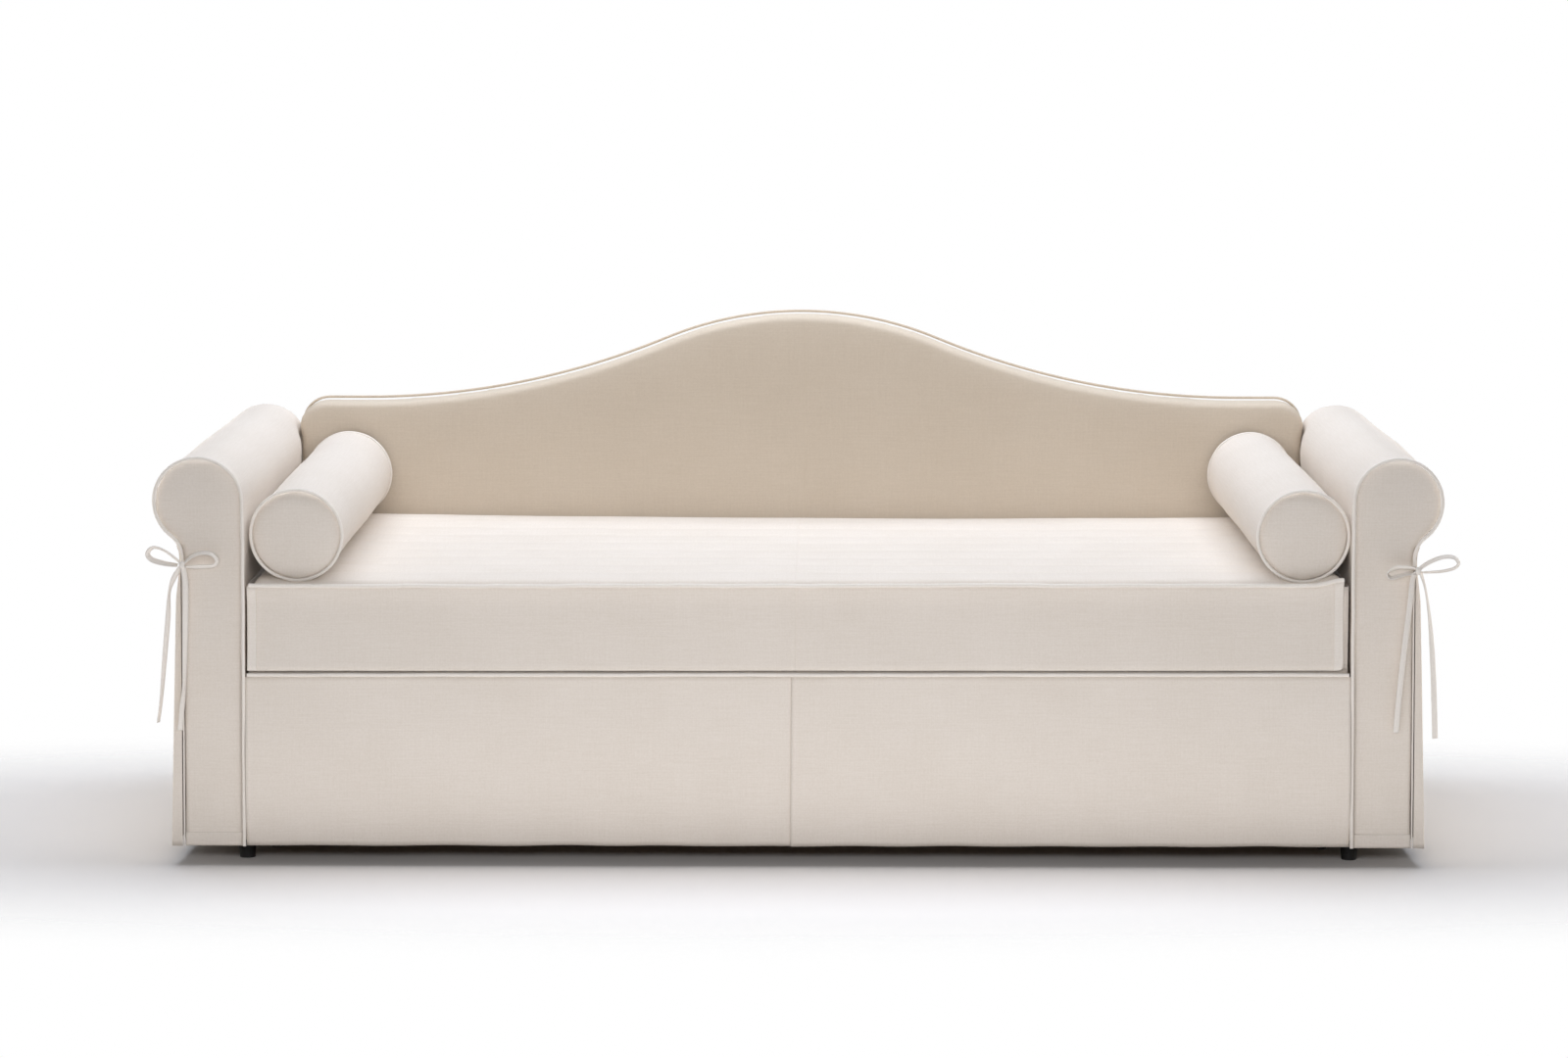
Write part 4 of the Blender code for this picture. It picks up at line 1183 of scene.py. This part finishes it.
def makeLowerMattress():
    low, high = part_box("trundle_mattress")
    gap = Vector([lowerBed.inset] * 3)
    work = bmesh.new()
    bmesh.ops.create_cube(work, size=1.0)
    bmesh.ops.scale(work, vec=high - low - 2 * gap, verts=work.verts)
    bmesh.ops.translate(work, vec=(low + high) / 2, verts=work.verts)
    roundOff(work, work.edges[:], lowerBed.round, 3)
    mesh = modified(stuffed(work, "lower_mattress", lowerBed), "SUBSURF", levels=1, render_levels=1)
    stepX = (high.x - low.x) / lowerBed.tufts[0]
    stepY = (high.y - low.y) / lowerBed.tufts[1]

    def settle(spot, normal):
        x = (spot.x - low.x) / stepX - 0.5
        y = (spot.y - low.y) / stepY - 0.5
        away = Vector(((x - round(x)) * stepX, (y - round(y)) * stepY)).length
        pull = math.exp(-(away / lowerBed.tuftSize) ** 2) * abs(normal.z)
        return spot - normal * (lowerBed.tuftDepth * pull - ripple(spot, lowerBed.broad, 9.1))

    shape(mesh, settle)
    weaveOn(mesh, straightRun)
    pad = newPiece("lower_mattress", mesh, canvasCloth, "trundle", "trundle_mattress")
    edge = Vector((lowerBed.tapeIn, lowerBed.tapeIn, 0))
    for name, z in (("top", high.z - lowerBed.tapeHeight), ("bottom", low.z + lowerBed.tapeHeight)):
        work = bmesh.new()
        bmesh.ops.create_grid(work, x_segments=1, y_segments=1, size=0.5)
        bmesh.ops.scale(work, vec=high - low - 2 * edge, verts=work.verts)
        bmesh.ops.translate(work, vec=((low.x + high.x) / 2, (low.y + high.y) / 2, z), verts=work.verts)
        bmesh.ops.bevel(
            work, geom=work.verts[:], offset=lowerBed.tapeCorner, segments=6, profile=0.5,
            affect="VERTICES", material=-1)
        points = [loop.vert.co.copy() for face in work.faces for loop in face.loops]
        work.free()
        pipe("lower_mattress_tape_" + name, points, lowerBed.tape, paintedLightTrim, "trundle", closed=True)


makeLowerMattress()
print("lower mattress done")


# Timber, steel and plastic left from the CAD

def grainLook(name, pale, deep, stretch, roughness):
    look = newLook(name)
    place = look.add("ShaderNodeTexCoord", None, None, "Object")
    bands = look.clouds(look.spread(place, stretch), 1.0, 4.0)
    pores = look.clouds(look.spread(place, tuple(part * 7 for part in stretch)), 1.0)
    look.relief(pores * 0.6 + bands * 0.4, 0.2, 0.0006)
    return look.finish({
        "Base Color": look.mix(bands * 1.1 + pores * 0.35 - 0.25, pale, deep),
        "Roughness": roughness + (pores - 0.5) * 0.25,
    })


def smoothLook(name, pale, deep, roughness, metallic, scale):
    look = newLook(name)
    place = look.add("ShaderNodeTexCoord", None, None, "Object")
    wear = look.clouds(place, scale, 4.0)
    fine = look.clouds(place, scale * 12)
    look.relief(fine, 0.12, 0.0003)
    return look.finish({
        "Base Color": look.mix(wear * 0.8 + fine * 0.2, pale, deep),
        "Roughness": roughness + (wear - 0.5) * 0.2 + (fine - 0.5) * 0.1,
        "Metallic": metallic,
    })


pineTones = (0.72, 0.53, 0.32, 1), (0.50, 0.32, 0.16, 1)
steelTones = (0.035, 0.035, 0.036, 1), (0.018, 0.018, 0.018, 1)
pineAcross = grainLook("pine, grain across", *pineTones, (1.6, 38, 38), 0.5)
pineAlong = grainLook("pine, grain to the back", *pineTones, (38, 1.6, 38), 0.5)
beech = grainLook("beech slats", (0.78, 0.60, 0.42, 1), (0.62, 0.44, 0.28, 1), (45, 2.2, 45), 0.45)
zinc = smoothLook("zinc steel", (0.62, 0.63, 0.64, 1), (0.42, 0.42, 0.42, 1), 0.34, 1.0, 90)
blackSteel = smoothLook("black pressed steel", *steelTones, 0.42, 0.6, 60)
rubber = smoothLook("black rubber", (0.045, 0.044, 0.043, 1), (0.020, 0.020, 0.020, 1), 0.68, 0.0, 140)
plastic = smoothLook("black plastic", (0.028, 0.027, 0.026, 1), (0.015, 0.015, 0.015, 1), 0.40, 0.0, 120)
looksByName = {
    "base_rail_front": pineAcross, "base_rail_rear": pineAcross, "base_rail": pineAlong, "base_slats": beech,
    "trundle_front_board": pineAcross, "trundle_rail_front": pineAcross, "trundle_rail_rear": pineAcross,
    "trundle_rail": pineAlong, "trundle_slats": beech, "arm_bolt": zinc, "back_bolt": zinc,
    "castor_bracket": blackSteel, "castor_axle": zinc, "castor_wheel": rubber, "foot": plastic,
}
for name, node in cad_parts.items():
    known = [start for start in looksByName if name.startswith(start)]
    if known and not node.hide_render:
        node.data.materials.clear()
        node.data.materials.append(looksByName[max(known, key=len)])
print("hardware done")


# Camera, light and floor

view = Settings(
    place=(0.0676, -8.2975, 1.6125),
    pitch=0.1289,  # down from level
    yaw=0.01155, lens=104.91, sensor=36,
)
camera = bpy.data.cameras.new("camera")
camera.lens = view.lens
camera.sensor_width = view.sensor
cameraPiece = linked("camera", camera)
cameraPiece.location = view.place
cameraPiece.rotation_euler = (math.pi / 2 - view.pitch, 0, view.yaw)
scene.camera = cameraPiece
scene.view_settings.view_transform = "Standard"

floorGlow = {"spread": 180, "color": (0.985, 0.99, 1.02)}  # light that a white floor sends up to the front
sideLight = {"size": (1.4, 0.5), "spread": 120, "power": 9, "color": (1.0, 0.98, 0.95), "floor": False}
lights = {
    "overhead": {
        "place": (0, 0.35, 3.0), "aim": (0, 0.35, 0.4), "size": (4.2, 2.2), "spread": 180,
        "power": 93, "color": (0.935, 0.995, 1.11),
    },
    "floor glow": {
        "place": (0, -1.0, 0.003), "aim": (0, -1.0, 1.0), "size": (3.2, 0.9), "power": 9.2, **floorGlow,
    },
    "far floor glow": {
        "place": (0, -2.05, 0.003), "aim": (0, -2.05, 1.0), "size": (3.2, 1.2), "power": 7.2, **floorGlow,
    },
    "front": {
        "place": (0, -3.4, 1.15), "aim": (0, -0.4, 0.35), "size": (3.0, 0.5), "spread": 110,
        "power": 14.5, "color": (0.985, 0.995, 1.04),
    },
    "left": {"place": (-2.5, 0.15, 0.42), "aim": (-1.1, 0.15, 0.40), **sideLight},
    "right": {"place": (2.5, 0.15, 0.42), "aim": (1.1, 0.15, 0.40), **sideLight},
    "rear": {
        "place": (0, 2.4, 0.42), "aim": (0, 0.46, 0.42), "size": (2.6, 0.5), "spread": 120,
        "power": 12, "color": (1.0, 0.99, 0.97), "floor": False,
    },
}
offFloor = bpy.data.collections.new("not lit by the side lamps")
for name, light in lights.items():
    lamp = bpy.data.lights.new(name, "AREA")
    lamp.shape = "RECTANGLE"
    lamp.size, lamp.size_y = light["size"]
    lamp.energy = light["power"]
    lamp.color = light["color"]
    lamp.spread = math.radians(light["spread"])
    lampPiece = linked(name, lamp)
    lampPiece.location = light["place"]
    aim = Vector(light["aim"]) - Vector(light["place"])
    lampPiece.rotation_euler = aim.to_track_quat("-Z", "Y").to_euler()
    lampPiece.visible_camera = False
    if not light.get("floor", True):  # the side and rear lamps leave the floor alone
        lampPiece.light_linking.receiver_collection = offFloor

studio = Settings(
    above=0.19,  # light from all round
    below=0.12,
    soft=0.1,  # how softly the two meet
    backdrop=1.0,  # the white behind
    color=(1, 1, 1, 1),
)
air = Look(bpy.data.worlds.new("studio"), "Background")
seen = air.add("ShaderNodeLightPath", None, None, "Is Camera Ray")
toward = air.add("ShaderNodeTexCoord", None, None, "Generated")
up = air.add("ShaderNodeSeparateXYZ", None, {0: toward}, "Z")
around = air.add("ShaderNodeMapRange", None, {
    "Value": up, "From Min": -studio.soft, "From Max": studio.soft,
    "To Min": studio.below, "To Max": studio.above})
glow = air.add("ShaderNodeMapRange", None, {"Value": seen, "To Min": around, "To Max": studio.backdrop})
scene.world = air.finish({"Color": studio.color, "Strength": glow})

floor = Settings(
    radius=9.0, middle=(0, 0.12, 0), spread=(0.7, 2.0, 1), solid=1.0,
    gone=2.2, color=(0.965, 0.93, 0.895, 1),
    bounce=(0.24, 0.205, 0.175, 1),  # what it sends back up
    roughness=0.7,
)
work = bmesh.new()
bmesh.ops.create_circle(work, cap_ends=True, segments=96, radius=floor.radius)
floorMesh = meshFrom(work, "floor")
floorPiece = linked("floor", floorMesh)
floorLook = newLook("pale studio floor")
place = floorLook.add("ShaderNodeTexCoord", None, None, "Object")
place = floorLook.add("ShaderNodeVectorMath", {"operation": "ADD"}, {0: place, 1: floor.middle})
place = floorLook.spread(place, floor.spread)
reach = floorLook.add("ShaderNodeVectorMath", {"operation": "LENGTH"}, {0: place}, "Value")
fade = floorLook.add("ShaderNodeMapRange", {"interpolation_type": "SMOOTHSTEP"}, {
    "Value": reach, "From Min": floor.solid, "From Max": floor.gone, "To Min": 1.0, "To Max": 0.0})
seen = floorLook.add("ShaderNodeLightPath", None, None, "Is Camera Ray")
shade = floorLook.mix(seen, floor.bounce, floor.color)
floorMesh.materials.append(floorLook.finish({
    "Base Color": shade, "Roughness": floor.roughness, "Alpha": fade}))
offFloor.objects.link(floorPiece)
offFloor.collection_objects[0].light_linking.link_state = "EXCLUDE"

print("daybed done")
